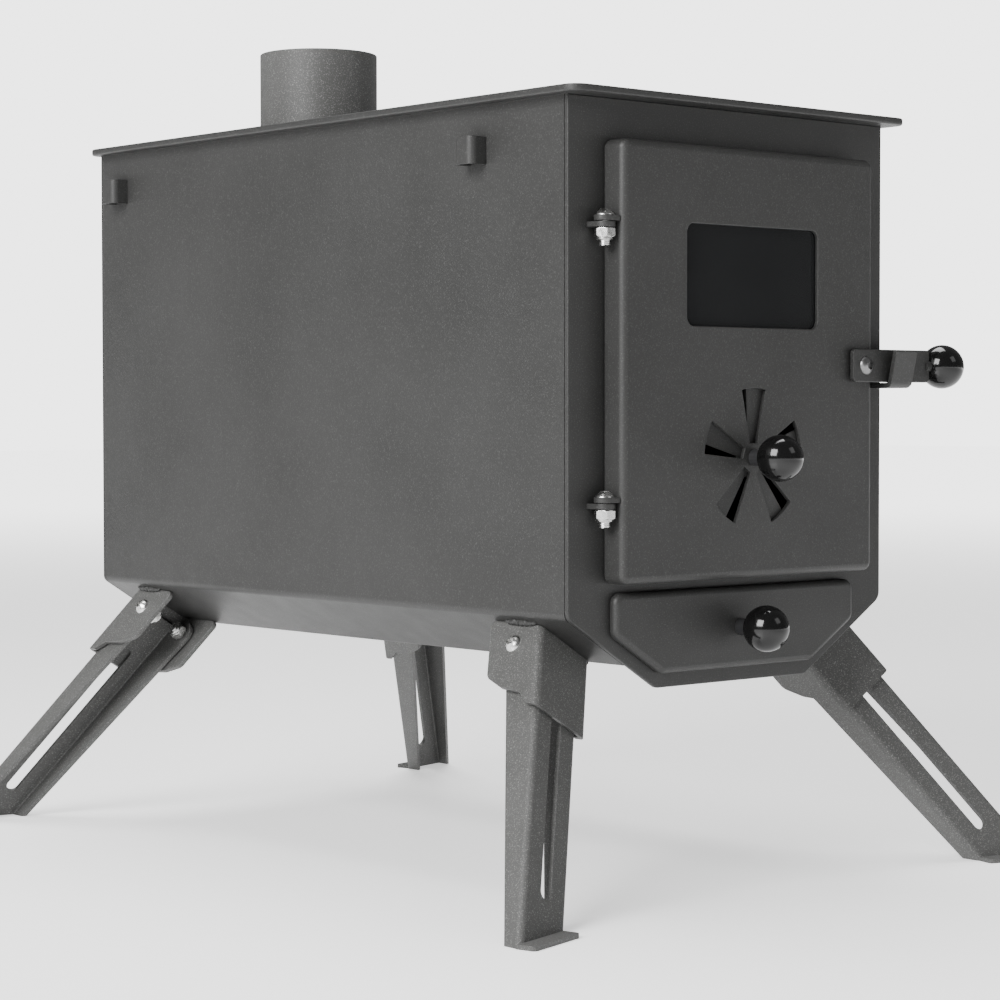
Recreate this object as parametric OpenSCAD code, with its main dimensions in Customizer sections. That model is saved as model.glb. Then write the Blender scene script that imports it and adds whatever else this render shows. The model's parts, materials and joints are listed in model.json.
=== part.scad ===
/* [Firebox] */
// Width across the side walls
body_w = 245; // [225:1:275]
// Depth from the face of the front plate to the face of the rear plate
body_d = 444; // [410:1:520]
// Height from the lowest edge of the front plate to the underside of the top plate
body_h = 312; // [285:1:350]
// Thickness of the folded firebox sheet
sheet_t = 2.5; // [1.5:0.1:3]
// Outside radius of the folds in that sheet
fold_r = 5; // [4:0.5:7]
// Thickness of the front and rear plates
plate_t = 3; // [2:0.1:4]
// Width that the slanted edge takes off each lower corner of the front plate
bevel_w = 64; // [60:1:68]
// Height of that slanted edge
bevel_h = 40; // [38:1:44]
// Radius of the lower corners of the front plate
plate_r = 7; // [4:1:10]
// Height of the firebox floor above the lowest edge of the front plate
floor_rise = 13; // [11:0.5:15]
// Height of the lowest edge of the front plate above the ground
ground_gap = 113; // [100:1:130]

/* [Top plate and flue] */
// Thickness of the top plate
top_t = 4; // [3:0.5:6]
// Overhang of the top plate at the front
top_front = 14; // [8:0.5:18]
// Overhang of the top plate at the rear
top_rear = 4; // [2:0.5:12]
// Overhang of the top plate at each side
top_side = 8; // [1:0.5:12]
// Corner radius of the top plate
top_r = 9; // [5:1:14]
// Outside diameter of the flue collar
flue_d = 76; // [60:1:90]
// Wall of the flue collar
flue_wall = 2; // [1.5:0.1:3]
// Height of the flue collar above the top plate
flue_h = 64; // [40:1:90]
// Distance from the middle of the flue to the face of the rear plate
flue_back = 70; // [55:1:90]
// Ledge inside the collar that the stove pipe stands on
flue_ledge = 2; // [1:0.5:4]

/* [Inside] */
// Thickness of the fire grate
grate_t = 4; // [3:0.5:6]
// Height of the underside of the grate above the lowest edge of the front plate
grate_rise = 56; // [55:1:64]
// Space round the grate
grate_gap = 6; // [3:0.5:8]
// Width of each slot in the grate
slot_w = 9; // [6:1:12]
// Distance from one grate slot to the next
slot_pitch = 26; // [20:1:40]
// Leg length of the angle strips inside
ledge_w = 16; // [12:1:20]
// Thickness of those angle strips
ledge_t = 2; // [1.5:0.1:3]
// Distance from the underside of the top plate to the underside of the smoke baffle
baffle_drop = 50; // [42:1:62]
// Thickness of the smoke baffle
baffle_t = 3; // [2:0.5:4]
// Distance from the front plate to the front edge of the baffle
baffle_in = 130; // [100:1:180]

/* [Door] */
// Distance from each side of the front plate to the door
door_side = 24.5; // [22.5:0.5:27.5]
// Distance from the top of the door to the underside of the top plate
door_head = 22; // [16.5:0.5:29.5]
// Height of the lower edge of the door above the lowest edge of the front plate
door_rise = 57.5; // [56:0.5:62]
// Distance from the front plate to the face of the door
door_out = 16; // [15:0.5:20]
// Thickness of the door sheet
door_t = 2.5; // [2:0.1:3]
// Corner radius of the door
door_r = 5; // [3:0.5:8]
// Gap between the rim of the door and the front plate
door_gap = 1; // [0.5:0.1:2]
// How far the door overlaps its opening on each side
door_lap = 14; // [13.5:0.5:17]
// Width of the door's rope seal
seal_w = 8; // [6:0.5:9]
// Thickness of the wall that holds the seal
seal_wall = 1.5; // [1:0.1:2]
// Width of the window
window_w = 102.5; // [90:0.5:120]
// Height of the window as a share of the height of the door
window_share = 0.23441; // [0.19:0.00001:0.26]
// Distance from the top of the door to the window as a share of the height of the door
window_down_share = 0.18065; // [0.165:0.00001:0.21]
// Corner radius of the window
window_r = 5; // [3:0.5:8]
// Thickness of the glass
glass_t = 4; // [3:0.5:5]
// How far the glass runs past the window on each side
glass_lap = 8; // [6:0.5:10]
// Thickness of the frame that holds the glass
frame_t = 1.5; // [1:0.1:2]

/* [Air control] */
// Height of the air control above the lower edge of the door as a share of the door's height
spin_share = 0.28086; // [0.26:0.00001:0.305]
// Number of air slots
slot_count = 5; // [3:1:6]
// Radius at the outer end of the slots as a share of the height of the door
slot_share = 0.16344; // [0.14:0.00001:0.175]
// Radius at the inner end of the slots
slot_inner = 8; // [7.5:0.5:10]
// Width of a slot at its outer end
slot_wide = 19; // [14:0.5:22]
// Width of a slot at its inner end
slot_narrow = 6; // [4:0.5:7]
// Width of a vane of the disc at its outer end
vane_wide = 15; // [12:0.5:20]
// Angle that the disc stands away from shut
spin_turned = 5.5; // [0:0.5:30]
// Thickness of the disc
disc_t = 1.5; // [1:0.1:2]

/* [Hinges] */
// Distance from the side of the door to the hinge axis
hinge_out = 6; // [5.9:0.1:7]
// Distance from the front plate to the hinge axis
hinge_ahead = 8; // [7.5:0.1:9]
// Thickness of each hinge tab
tab_t = 3; // [2:0.1:4]
// Distance from one hinge to the other as a share of the height of the door
hinge_share = 0.63011; // [0.52:0.00001:0.73]

/* [Latch] */
// Distance from the free side of the door to the lever's pivot
latch_in = 11; // [10:0.5:16]
// Width of the lever
lever_w = 18.5; // [16:0.5:20]
// Thickness of the lever and of its hook
lever_t = 3; // [2:0.1:4]
// Length of the lever from its pivot to its end
lever_len = 55; // [53:0.5:70]
// Length of the lever behind its pivot
lever_tail = 10.5; // [8:0.5:12]
// Thickness of the washer under the lever
washer_t = 1.3; // [1:0.1:2]
// Width of the hook
hook_w = 18; // [14:0.5:19]
// Distance from the side of the door to the hook
hook_off = 5.5; // [2.5:0.5:6]
// Space between the lever and the hook
hook_gap = 0.8; // [0.4:0.1:1.5]
// Lean of the hook's lip
hook_lean = 15; // [0:1:20]

/* [Ash drawer] */
// Distance from each side of the front plate to the drawer front
drawer_in = 29; // [26:0.5:33]
// Height of the drawer front above the lowest edge of the front plate
drawer_rise = 8; // [6:0.5:9]
// Height of the drawer front
drawer_h = 44.5; // [43:0.5:46]
// Distance from the front plate to the face of the drawer front
drawer_out = 6; // [5:0.5:8]
// Thickness of the drawer front's sheet
drawer_t = 2.5; // [2:0.1:3]
// Corner radius of the drawer front
drawer_r = 6; // [3:0.5:8]
// Distance from each fold of the firebox floor to the side of the ash tray
tray_side = 15.3; // [12.5:0.1:24]
// Height of the ash tray
tray_h = 30; // [26:1:31]
// Depth of the ash tray
tray_d = 380; // [300:1:385]
// Thickness of the tray's sheet
tray_t = 1.5; // [1:0.1:2]

/* [Knobs and fasteners] */
// Diameter of the ball knobs
ball_d = 25.4; // [22:0.1:26]
// Diameter of the neck behind a ball knob
neck_d = 11; // [9.5:0.5:12]
// Distance from a face to the middle of the ball knob on it
knob_reach = 19.5; // [18:0.5:24]
// Diameter of the screws' shanks
screw_d = 6; // [5.8:0.1:6.2]
// Diameter of the screws' heads
head_d = 10.5; // [10:0.1:11]
// Height of the screws' heads
head_h = 3.3; // [2.8:0.1:3.6]
// Width across the flats of the nuts
nut_af = 10; // [9:0.5:10]
// Height of the hexagon of a nut
nut_h = 5; // [4.5:0.1:5.2]
// Height of the round collar on a nut
nut_collar = 1.3; // [1:0.1:1.5]

/* [Legs] */
// Lean of each leg along the stove, from square to the slanted sheet
leg_lean = 26.5; // [22:0.5:30]
// Distance from the front or rear plate to the pivot of a leg
leg_in = 44; // [42:0.5:60]
// Width across the bracket of a leg
bracket_w = 42; // [38:0.5:43]
// Thickness of the bracket
bracket_t = 3; // [2.5:0.1:3.5]
// Length of the bracket below the pivot
bracket_drop = 46; // [42:1:52]
// Distance from the pivot to the face of the bracket
bracket_ahead = 19; // [18.5:0.1:22]
// Distance from the pivot to the open edge of the bracket
bracket_behind = 17; // [12:0.5:19]
// Thickness of the leg's sheet
leg_t = 2.5; // [2:0.1:3]
// Distance from the slanted sheet to the pivot of a leg
pivot_drop = 12.5; // [11:0.1:14]
// Distance from the upper edge of the slanted sheet to the middle of the bracket
bracket_down = 29.5; // [26:0.5:30]
// Space between each side of the leg and its bracket
leg_gap = 1.1; // [0.3:0.1:1.2]
// Radius of the leg's end round its pivot
leg_end_r = 8; // [6.5:0.5:9]
// Depth of the leg's flanges at the foot
leg_foot_depth = 10; // [10:0.5:16]
// Width of the long slot in the leg
leg_slot_w = 8; // [6:0.5:10]
// Distance from the ground to the lower end of the slot, along the leg
leg_slot_low = 28; // [20:1:40]
// Depth of the turned-out foot
foot_out = 9; // [8.5:0.5:12]

/* [Side loops] */
// Height of a side loop
loop_h = 15; // [12:0.5:20]
// Length of a side loop along the wall
loop_l = 15; // [14:0.5:20]
// Distance that a side loop stands out of the wall
loop_out = 11; // [9.5:0.5:14]
// Thickness of a side loop
loop_t = 2.2; // [1.5:0.1:2.4]
// Distance from the top plate to the top of a side loop
loop_down = 17; // [15:0.5:30]
// Distance from the front plate's face to the front loop
loop_front = 64.5; // [50:0.5:90]
// Distance from the rear plate's face to the rear loop
loop_rear = 16; // [10:0.5:40]

/* [Hidden] */
$fn = 64;

black_coat = "#3a3b3c";
steel = "#c9ccce";
ball_black = "#151515";
glass_black = "#0c0d0f";
rope_grey = "#8d8a83";

// Overrun of every cut past the face that it leaves
cut = 1;
// Gap between pieces that lie against each other but are not joined
seat_gap = 0.3;
// Radial clearance of a turning pin in its hole
turn_gap = 0.05;
// Points in each rounded corner of a flat outline
corner_steps = 6;

front_y = -body_d / 2;
rear_y = body_d / 2;
half_w = body_w / 2;
top_z = ground_gap + body_h;
slope = atan(bevel_h / bevel_w);
floor_half = half_w - bevel_w * (bevel_h - floor_rise) / bevel_h;
floor_z = ground_gap + floor_rise;
bevel_z = ground_gap + bevel_h;
wall_x = half_w - sheet_t;

door_w = body_w - 2 * door_side;
door_h = body_h - door_rise - door_head;
window_h = door_h * window_share;
window_down = door_h * window_down_share;
spin_rise = door_h * spin_share;
slot_outer = door_h * slot_share;
hinge_spread = door_h * hinge_share;
tray_w = 2 * (floor_half - tray_side);

door_half = door_w / 2;
door_low = ground_gap + door_rise;
door_top = door_low + door_h;
door_mid = door_low + door_h / 2;
door_face = front_y - door_out;
door_back = door_face + door_t;
door_rim = front_y - door_gap;
window_mid = door_top - window_down - window_h / 2;
spin_z = door_low + spin_rise;
spin_y = door_back + seat_gap;

hinge_x = -door_half - hinge_out;
hinge_y = front_y - hinge_ahead;
tab_r = hinge_out - seat_gap;
hinge_levels = [door_mid - hinge_spread / 2, door_mid + hinge_spread / 2];
screw_r = screw_d / 2;
hole_r = screw_r + turn_gap;
key_af = screw_d * 2 / 3;
// Radius of the flush nut that is pressed into the door for the lever's screw
clinch_r = nut_af * 0.46;

latch_x = door_half - latch_in;
lever_back = door_face - washer_t;
lever_face = lever_back - lever_t;
hook_x = door_half + hook_off;
hook_low = door_mid - lever_w / 2 - seat_gap - lever_t;

drawer_half = half_w - drawer_in;
drawer_low = ground_gap + drawer_rise;
drawer_top = drawer_low + drawer_h;
drawer_face = front_y - drawer_out;
drawer_back = front_y - seat_gap;
// Width that the drawer front's slanted edge takes off each lower corner
drawer_bevel_w = drawer_half - (half_w - bevel_w);
tray_low = floor_z + sheet_t + seat_gap;
tray_gap = seat_gap * 2;
knob_z = drawer_low + drawer_h / 2;
ball_r = ball_d / 2;
neck_r = neck_d / 2;

pivot_x = -half_w + bracket_down * cos(slope) - pivot_drop * sin(slope);
pivot_y = front_y + leg_in;
pivot_z = bevel_z - bracket_down * sin(slope) - pivot_drop * cos(slope);
leg_ahead = bracket_ahead - bracket_t - seat_gap;
leg_w = bracket_w - 2 * bracket_t - 2 * leg_gap;
fold_small = bracket_t + cut;
LEGS = [[-1, -1], [1, -1], [-1, 1], [1, 1]];

function unit(v) = v / norm(v);
function left_of(v) = [-v[1], v[0]];

// Points of an arc of radius r that eases the corner b between a and c
function eased_corner(a, b, c, r) =
    let (
        u = unit(a - b),
        v = unit(c - b),
        half = acos(u * v) / 2,
        m = b + unit(u + v) * r / sin(half),
        s = b + u * r / tan(half) - m,
        e = b + v * r / tan(half) - m,
        from = atan2(s[1], s[0]),
        turn = atan2(s[0] * e[1] - s[1] * e[0], s * e)
    )
    [for (k = [0:corner_steps]) m + r * [cos(from + turn * k / corner_steps),
                                         sin(from + turn * k / corner_steps)]];

// A closed outline with each corner eased by its own radius
function eased_outline(p, r) =
    [for (i = [0:len(p) - 1])
        let (n = len(p))
        each (r[i] > 0 ? eased_corner(p[(i + n - 1) % n], p[i], p[(i + 1) % n], r[i]) : [p[i]])];

// An open path with every inner corner eased by the radius r
function eased_path(p, r) =
    [for (i = [0:len(p) - 1])
        each (i > 0 && i < len(p) - 1 ? eased_corner(p[i - 1], p[i], p[i + 1], r) : [p[i]])];

// The same path moved sideways by t
function moved_path(p, t) =
    [for (i = [0:len(p) - 1])
        let (
            a = left_of(unit(i == 0 ? p[1] - p[0] : p[i] - p[i - 1])),
            b = i == len(p) - 1 ? a : left_of(unit(p[i + 1] - p[i])),
            c = i == 0 ? b : a
        )
        p[i] + t * (c + b) / (1 + c * b)];

// The outline of a folded sheet: outer path p, thickness t to its left, outside fold radius r
function folded_sheet(p, t, r) =
    let (inner = eased_path(moved_path(p, t), r - t), n = len(inner))
    concat(eased_path(p, r), [for (i = [0:n - 1]) inner[n - 1 - i]]);

// A closed outline moved inwards by t, for points that run anticlockwise
function inset_outline(p, t) =
    [for (i = [0:len(p) - 1])
        let (
            n = len(p),
            a = left_of(unit(p[i] - p[(i + n - 1) % n])),
            b = left_of(unit(p[(i + 1) % n] - p[i]))
        )
        p[i] + t * (a + b) / (1 + a * b)];

// Extrudes an outline drawn in X and Z from the plane y = y0 to the plane y = y1
module sheet_xz(y0, y1) {
    translate([0, y1, 0])
        rotate([90, 0, 0])
            linear_extrude(y1 - y0)
                children();
}

// A rectangle with eased corners, centred on x = 0 and from z = low to z = high
module eased_rect(w, low, high, r) {
    polygon(eased_outline([[-w / 2, low], [w / 2, low], [w / 2, high], [-w / 2, high]],
                          [r, r, r, r]));
}

// A round piece along the depth of the stove
module rod_y(x, z, y0, y1, r) {
    translate([x, y1, z])
        rotate([90, 0, 0])
            cylinder(h = y1 - y0, r = r);
}

// A screw with its head on +Z, its shank below z = 0 and a hexagon socket
module button_screw(length) {
    dome_r = (pow(head_d / 2, 2) + pow(head_h, 2)) / (2 * head_h);
    difference() {
        union() {
            intersection() {
                translate([0, 0, head_h - dome_r])
                    sphere(r = dome_r);
                cylinder(h = head_h, r = head_d / 2);
            }
            translate([0, 0, -length])
                cylinder(h = length + head_h / 2, r = screw_r);
        }
        translate([0, 0, head_h / 3])
            cylinder(h = head_h, r = key_af / sqrt(3), $fn = 6);
    }
}

// A lock nut that stands on z = 0 with its round collar on top
module lock_nut() {
    difference() {
        union() {
            cylinder(h = nut_h, r = nut_af / sqrt(3), $fn = 6);
            cylinder(h = nut_h + nut_collar, r = nut_af * 0.46);
        }
        translate([0, 0, -cut])
            cylinder(h = nut_h + nut_collar + 2 * cut, r = hole_r);
    }
}

// The neck and stud that carry a ball knob on a face at y = face, and reach inside to y = inner
module knob_stem(z, face, inner) {
    rod_y(0, z, face - knob_reach + ball_r - neck_r / 2, face - seat_gap, neck_r);
    rod_y(0, z, face - knob_reach, inner, screw_r);
}

// A ball about the origin with a bore up from below, widened at its mouth to the radius mouth_r
module drilled_ball(mouth_r) {
    rotate_extrude()
        difference() {
            intersection() {
                circle(r = ball_r);
                translate([0, -ball_r])
                    square([ball_r, 2 * ball_r]);
            }
            translate([0, -ball_r - cut])
                square([hole_r, ball_r + cut + seat_gap]);
            translate([0, -ball_r - cut])
                square([mouth_r, cut + neck_r / 2 + turn_gap]);
        }
}

// A ball knob on that neck and stud
module ball_knob(z, face) {
    translate([0, face - knob_reach, z])
        rotate([90, 0, 0])
            drilled_ball(neck_r + turn_gap);
}

// A nut inside a panel, with its seat at y = seat
module nut_on_back(x, z, seat) {
    translate([x, seat, z])
        rotate([-90, 0, 0])
            lock_nut();
}

module body_shell() {
    path = [[-half_w, top_z], [-half_w, bevel_z], [-floor_half, floor_z],
            [floor_half, floor_z], [half_w, bevel_z], [half_w, top_z]];
    color(black_coat)
        sheet_xz(front_y + plate_t, rear_y - plate_t)
            polygon(folded_sheet(path, sheet_t, fold_r));
}

module front_plate() {
    low_half = half_w - bevel_w;
    outline = [[-half_w, bevel_z], [-low_half, ground_gap], [low_half, ground_gap],
               [half_w, bevel_z], [half_w, top_z], [-half_w, top_z]];
    color(black_coat)
        difference() {
            sheet_xz(front_y, front_y + plate_t)
                polygon(eased_outline(outline, [plate_r, plate_r, plate_r, plate_r, 0, 0]));
            sheet_xz(front_y - cut, front_y + plate_t + cut)
                eased_rect(door_w - 2 * door_lap, door_low + door_lap, door_top - door_lap, door_r);
            sheet_xz(front_y - cut, front_y + plate_t + cut)
                eased_rect(tray_w + 2 * tray_gap, tray_low - seat_gap,
                           tray_low + tray_h + tray_gap, tray_t);
        }
}

module rear_plate() {
    outline = [[-half_w, bevel_z], [-floor_half, floor_z], [floor_half, floor_z],
               [half_w, bevel_z], [half_w, top_z], [-half_w, top_z]];
    color(black_coat)
        sheet_xz(rear_y - plate_t, rear_y)
            polygon(eased_outline(outline, [fold_r, fold_r, fold_r, fold_r, 0, 0]));
}

module top_plate() {
    x1 = half_w + top_side;
    y0 = front_y - top_front;
    y1 = rear_y + top_rear;
    color(black_coat)
        translate([0, 0, top_z])
            difference() {
                linear_extrude(top_t)
                    polygon(eased_outline([[-x1, y0], [x1, y0], [x1, y1], [-x1, y1]],
                                          [top_r, top_r, top_r, top_r]));
                translate([0, rear_y - flue_back, -cut])
                    cylinder(h = top_t + 2 * cut, r = flue_d / 2 - flue_wall - flue_ledge);
            }
}

module flue_collar() {
    color(black_coat)
        translate([0, rear_y - flue_back, top_z + top_t])
            difference() {
                cylinder(h = flue_h, r = flue_d / 2);
                translate([0, 0, -cut])
                    cylinder(h = flue_h + 2 * cut, r = flue_d / 2 - flue_wall);
            }
}

// A pair of angle strips on the side walls, with their shelves' tops at z = shelf
module wall_ledges(shelf, y0, y1) {
    for (side = [-1, 1])
        scale([side, 1, 1])
            translate([0, 0, shelf])
                sheet_xz(y0, y1)
                    polygon([[wall_x, 0], [wall_x - ledge_w, 0], [wall_x - ledge_w, -ledge_t],
                             [wall_x - ledge_t, -ledge_t], [wall_x - ledge_t, -ledge_w * 0.8],
                             [wall_x, -ledge_w * 0.8]]);
}

module smoke_baffle() {
    color(black_coat)
        translate([-wall_x + grate_gap / 2, front_y + baffle_in, top_z - baffle_drop])
            cube([2 * wall_x - grate_gap, body_d - baffle_in - plate_t - seat_gap, baffle_t]);
}

module baffle_ledges() {
    color(black_coat)
        wall_ledges(top_z - baffle_drop, front_y + baffle_in, rear_y - plate_t);
}

module fire_grate() {
    x1 = wall_x - grate_gap;
    y0 = front_y + plate_t + grate_gap;
    depth = body_d - 2 * plate_t - 2 * grate_gap;
    rows = floor((depth - slot_pitch) / slot_pitch);
    slot_l = (2 * x1 - 3 * slot_pitch) / 2;
    color(black_coat)
        translate([0, 0, ground_gap + grate_rise])
            difference() {
                translate([-x1, y0, 0])
                    cube([2 * x1, depth, grate_t]);
                for (side = [-1, 1])
                    for (i = [0:rows - 1])
                        translate([side * (slot_l / 2 + slot_pitch / 2),
                                   (i - (rows - 1) / 2) * slot_pitch, -cut])
                            linear_extrude(grate_t + 2 * cut)
                                union() {
                                    square([slot_l - slot_w, slot_w], center = true);
                                    for (end = [-1, 1])
                                        translate([end * (slot_l - slot_w) / 2, 0])
                                            circle(r = slot_w / 2, $fn = 24);
                                }
            }
}

module grate_ledges() {
    color(black_coat)
        wall_ledges(ground_gap + grate_rise, front_y + plate_t, rear_y - plate_t);
}

module drawer_guides() {
    guide_x = tray_w / 2 + tray_gap;
    base = floor_z + sheet_t;
    leg = ledge_w / 2;
    color(black_coat)
        for (side = [-1, 1])
            scale([side, 1, 1])
                translate([0, 0, base])
                    sheet_xz(front_y + plate_t, front_y + plate_t + tray_d)
                        polygon([[guide_x, 0], [guide_x + leg, 0], [guide_x + leg, ledge_t],
                                 [guide_x + ledge_t, ledge_t], [guide_x + ledge_t, leg],
                                 [guide_x, leg]]);
}

// The two loops on the wall at x = half_w
module wall_loops() {
    for (y = [front_y + loop_front, rear_y - loop_rear - loop_l])
        translate([half_w, y, top_z - loop_down - loop_h])
            linear_extrude(loop_h)
                polygon(folded_sheet([[0, 0], [loop_out, 0], [loop_out, loop_l], [0, loop_l]],
                                     loop_t, loop_t * 2));
}

module side_loops_left() {
    color(black_coat)
        mirror([1, 0, 0])
            wall_loops();
}

module side_loops_right() {
    color(black_coat)
        wall_loops();
}

module latch_hook() {
    lip = lever_w - lever_t * tan(hook_lean);
    inner = lever_face - hook_gap;
    face = inner - lever_t;
    path = [[front_y, hook_low], [face, hook_low],
            [face - lip * tan(hook_lean), hook_low + lever_t + lip]];
    color(black_coat)
        translate([hook_x, 0, 0])
            rotate([90, 0, 90])
                linear_extrude(hook_w)
                    polygon(folded_sheet([for (i = [0:2]) path[2 - i]], lever_t, lever_t * 1.5));
}

module hinge_body_tabs() {
    color(black_coat)
        for (z = hinge_levels)
            translate([hinge_x, hinge_y, z - tab_t - seat_gap])
                difference() {
                    linear_extrude(tab_t)
                        union() {
                            circle(r = tab_r);
                            translate([-tab_r, 0])
                                square([2 * tab_r, hinge_ahead]);
                        }
                    translate([0, 0, -cut])
                        cylinder(h = tab_t + 2 * cut, r = hole_r);
                }
}

module hinge_door_tabs() {
    color(black_coat)
        for (z = hinge_levels)
            translate([hinge_x, hinge_y, z])
                difference() {
                    linear_extrude(tab_t)
                        union() {
                            circle(r = tab_r);
                            translate([0, -tab_r])
                                square([hinge_out, 2 * tab_r]);
                        }
                    translate([0, 0, -cut])
                        cylinder(h = tab_t + 2 * cut, r = hole_r);
                }
}

module hinge_screws() {
    grip = 2 * tab_t + 3 * seat_gap + nut_h + nut_collar;
    color(steel)
        for (z = hinge_levels)
            translate([hinge_x, hinge_y, z + tab_t + seat_gap])
                button_screw(grip + screw_r);
}

module hinge_nuts() {
    color(steel)
        for (z = hinge_levels)
            translate([hinge_x, hinge_y, z - tab_t - 2 * seat_gap])
                mirror([0, 0, 1])
                    lock_nut();
}

// One air slot or vane: a wedge that points along +Z from the middle, drawn in X and Z
module wedge(inner, outer, narrow, wide) {
    intersection() {
        circle(r = outer, $fn = 96);
        polygon([[-narrow / 2, inner], [narrow / 2, inner], [wide / 2, outer],
                 [wide / 2, outer * 1.2], [-wide / 2, outer * 1.2], [-wide / 2, outer]]);
    }
}

module door_panel() {
    color(black_coat)
        difference() {
            sheet_xz(door_face, door_rim)
                eased_rect(door_w, door_low, door_top, door_r);
            sheet_xz(door_back, door_rim + cut)
                eased_rect(door_w - 2 * door_t, door_low + door_t, door_top - door_t,
                           door_r - door_t);
            sheet_xz(door_face - cut, door_back + cut)
                eased_rect(window_w, window_mid - window_h / 2, window_mid + window_h / 2,
                           window_r);
            translate([0, 0, spin_z])
                sheet_xz(door_face - cut, door_back + cut)
                    for (i = [0:slot_count - 1])
                        rotate(i * 360 / slot_count)
                            wedge(slot_inner, slot_outer, slot_narrow, slot_wide);
            rod_y(0, spin_z, door_face - cut, door_back + cut, hole_r);
            rod_y(latch_x, door_mid, door_face - cut, door_back + cut, clinch_r + turn_gap);
        }
}

module seal_wall_ring() {
    outer_w = door_w - 2 * door_t - 2 * seal_w - 4 * seat_gap;
    outer_low = door_low + door_t + seal_w + 2 * seat_gap;
    outer_top = door_top - door_t - seal_w - 2 * seat_gap;
    color(black_coat)
        difference() {
            sheet_xz(door_back, door_rim - door_gap)
                eased_rect(outer_w, outer_low, outer_top, door_r);
            sheet_xz(door_back - cut, door_rim + cut)
                eased_rect(outer_w - 2 * seal_wall, outer_low + seal_wall, outer_top - seal_wall,
                           door_r - seal_wall);
        }
}

module door_seal() {
    outer_w = door_w - 2 * door_t - 2 * seat_gap;
    outer_low = door_low + door_t + seat_gap;
    outer_top = door_top - door_t - seat_gap;
    color(rope_grey)
        difference() {
            sheet_xz(door_back + seat_gap, front_y - seat_gap)
                eased_rect(outer_w, outer_low, outer_top, door_r - door_t);
            sheet_xz(door_back - cut, front_y + cut)
                eased_rect(outer_w - 2 * seal_w, outer_low + seal_w, outer_top - seal_w,
                           door_r);
        }
}

module window_glass() {
    color(glass_black)
        sheet_xz(door_back + seat_gap, door_back + seat_gap + glass_t)
            eased_rect(window_w + 2 * glass_lap, window_mid - window_h / 2 - glass_lap,
                       window_mid + window_h / 2 + glass_lap, window_r);
}

// Where the studs of the window frame stand, from the middle of the window
function stud_places() =
    [for (sx = [-1, 1], sz = [-1, 1])
        [sx * (window_w / 2 - glass_lap), sz * (window_h / 2 + glass_lap + screw_r)]];

module window_frame() {
    y0 = door_back + 2 * seat_gap + glass_t;
    ear_h = glass_lap + screw_d + seat_gap;
    color(black_coat)
        difference() {
            sheet_xz(y0, y0 + frame_t)
                eased_rect(window_w + glass_lap, window_mid - window_h / 2 - ear_h,
                           window_mid + window_h / 2 + ear_h, window_r);
            sheet_xz(y0 - cut, y0 + frame_t + cut)
                eased_rect(window_w, window_mid - window_h / 2, window_mid + window_h / 2,
                           window_r);
            for (p = stud_places())
                rod_y(p[0], window_mid + p[1], y0 - cut, y0 + frame_t + cut, screw_r / 2 + turn_gap);
        }
}

module window_studs() {
    y0 = door_back + 2 * seat_gap + glass_t + frame_t + seat_gap;
    color(steel)
        for (p = stud_places()) {
            rod_y(p[0], window_mid + p[1], door_back, y0 + screw_r, screw_r / 2);
            translate([p[0], y0 + screw_r, window_mid + p[1]])
                rotate([90, 0, 0])
                    cylinder(h = screw_r, r = screw_r, $fn = 6);
        }
}

module latch_screw() {
    color(steel)
        translate([latch_x, lever_face - seat_gap, door_mid])
            rotate([90, 0, 0])
                button_screw(seat_gap + lever_t + washer_t + door_t);
}

module latch_nut() {
    color(steel)
        difference() {
            rod_y(latch_x, door_mid, door_face, door_back, clinch_r);
            rod_y(latch_x, door_mid, door_face - cut, door_back + cut, hole_r);
        }
}

module latch_washer() {
    color(steel)
        difference() {
            rod_y(latch_x, door_mid, lever_back + seat_gap, door_face - turn_gap, head_d / 2);
            rod_y(latch_x, door_mid, lever_back - cut, door_face + cut, hole_r);
        }
}

module latch_lever() {
    x0 = -lever_tail;
    half = lever_w / 2;
    corner = lever_w / 6;
    color(black_coat)
        difference() {
            translate([latch_x, 0, door_mid])
                union() {
                    sheet_xz(lever_face, lever_back)
                        polygon(eased_outline([[x0, -half], [lever_len, -half],
                                               [lever_len, half], [x0, half]],
                                              [corner, corner / 2, corner / 2, corner]));
                    translate([lever_len, (lever_face + lever_back) / 2, 0])
                        rotate([0, 90, 0])
                            cylinder(h = ball_r, r = screw_r);
                }
            rod_y(latch_x, door_mid, lever_face - cut, lever_back + cut, hole_r);
        }
}

module latch_knob() {
    color(ball_black)
        translate([latch_x + lever_len + seat_gap + ball_r, (lever_face + lever_back) / 2, door_mid])
            rotate([0, 90, 0])
                drilled_ball(hole_r);
}

module spinner_disc() {
    rim = disc_t * 2;
    color(black_coat)
        translate([0, 0, spin_z])
            rotate([0, spin_turned, 0])
                difference() {
                    sheet_xz(spin_y, spin_y + disc_t)
                        union() {
                            difference() {
                                circle(r = slot_outer + 2 * rim);
                                circle(r = slot_outer + rim / 2);
                            }
                            circle(r = slot_inner + rim);
                            for (i = [0:slot_count - 1])
                                rotate(i * 360 / slot_count)
                                    wedge(slot_inner, slot_outer + rim, slot_narrow, vane_wide);
                        }
                    rod_y(0, 0, spin_y - cut, spin_y + disc_t + cut, hole_r);
                }
}

module spinner_stem() {
    color(ball_black)
        knob_stem(spin_z, door_face, spin_y + disc_t + nut_h + nut_collar + screw_r / 2);
}

module spinner_nut() {
    color(steel)
        nut_on_back(0, spin_z, spin_y + disc_t + turn_gap);
}

module spinner_knob() {
    color(ball_black)
        ball_knob(spin_z, door_face);
}

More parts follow.
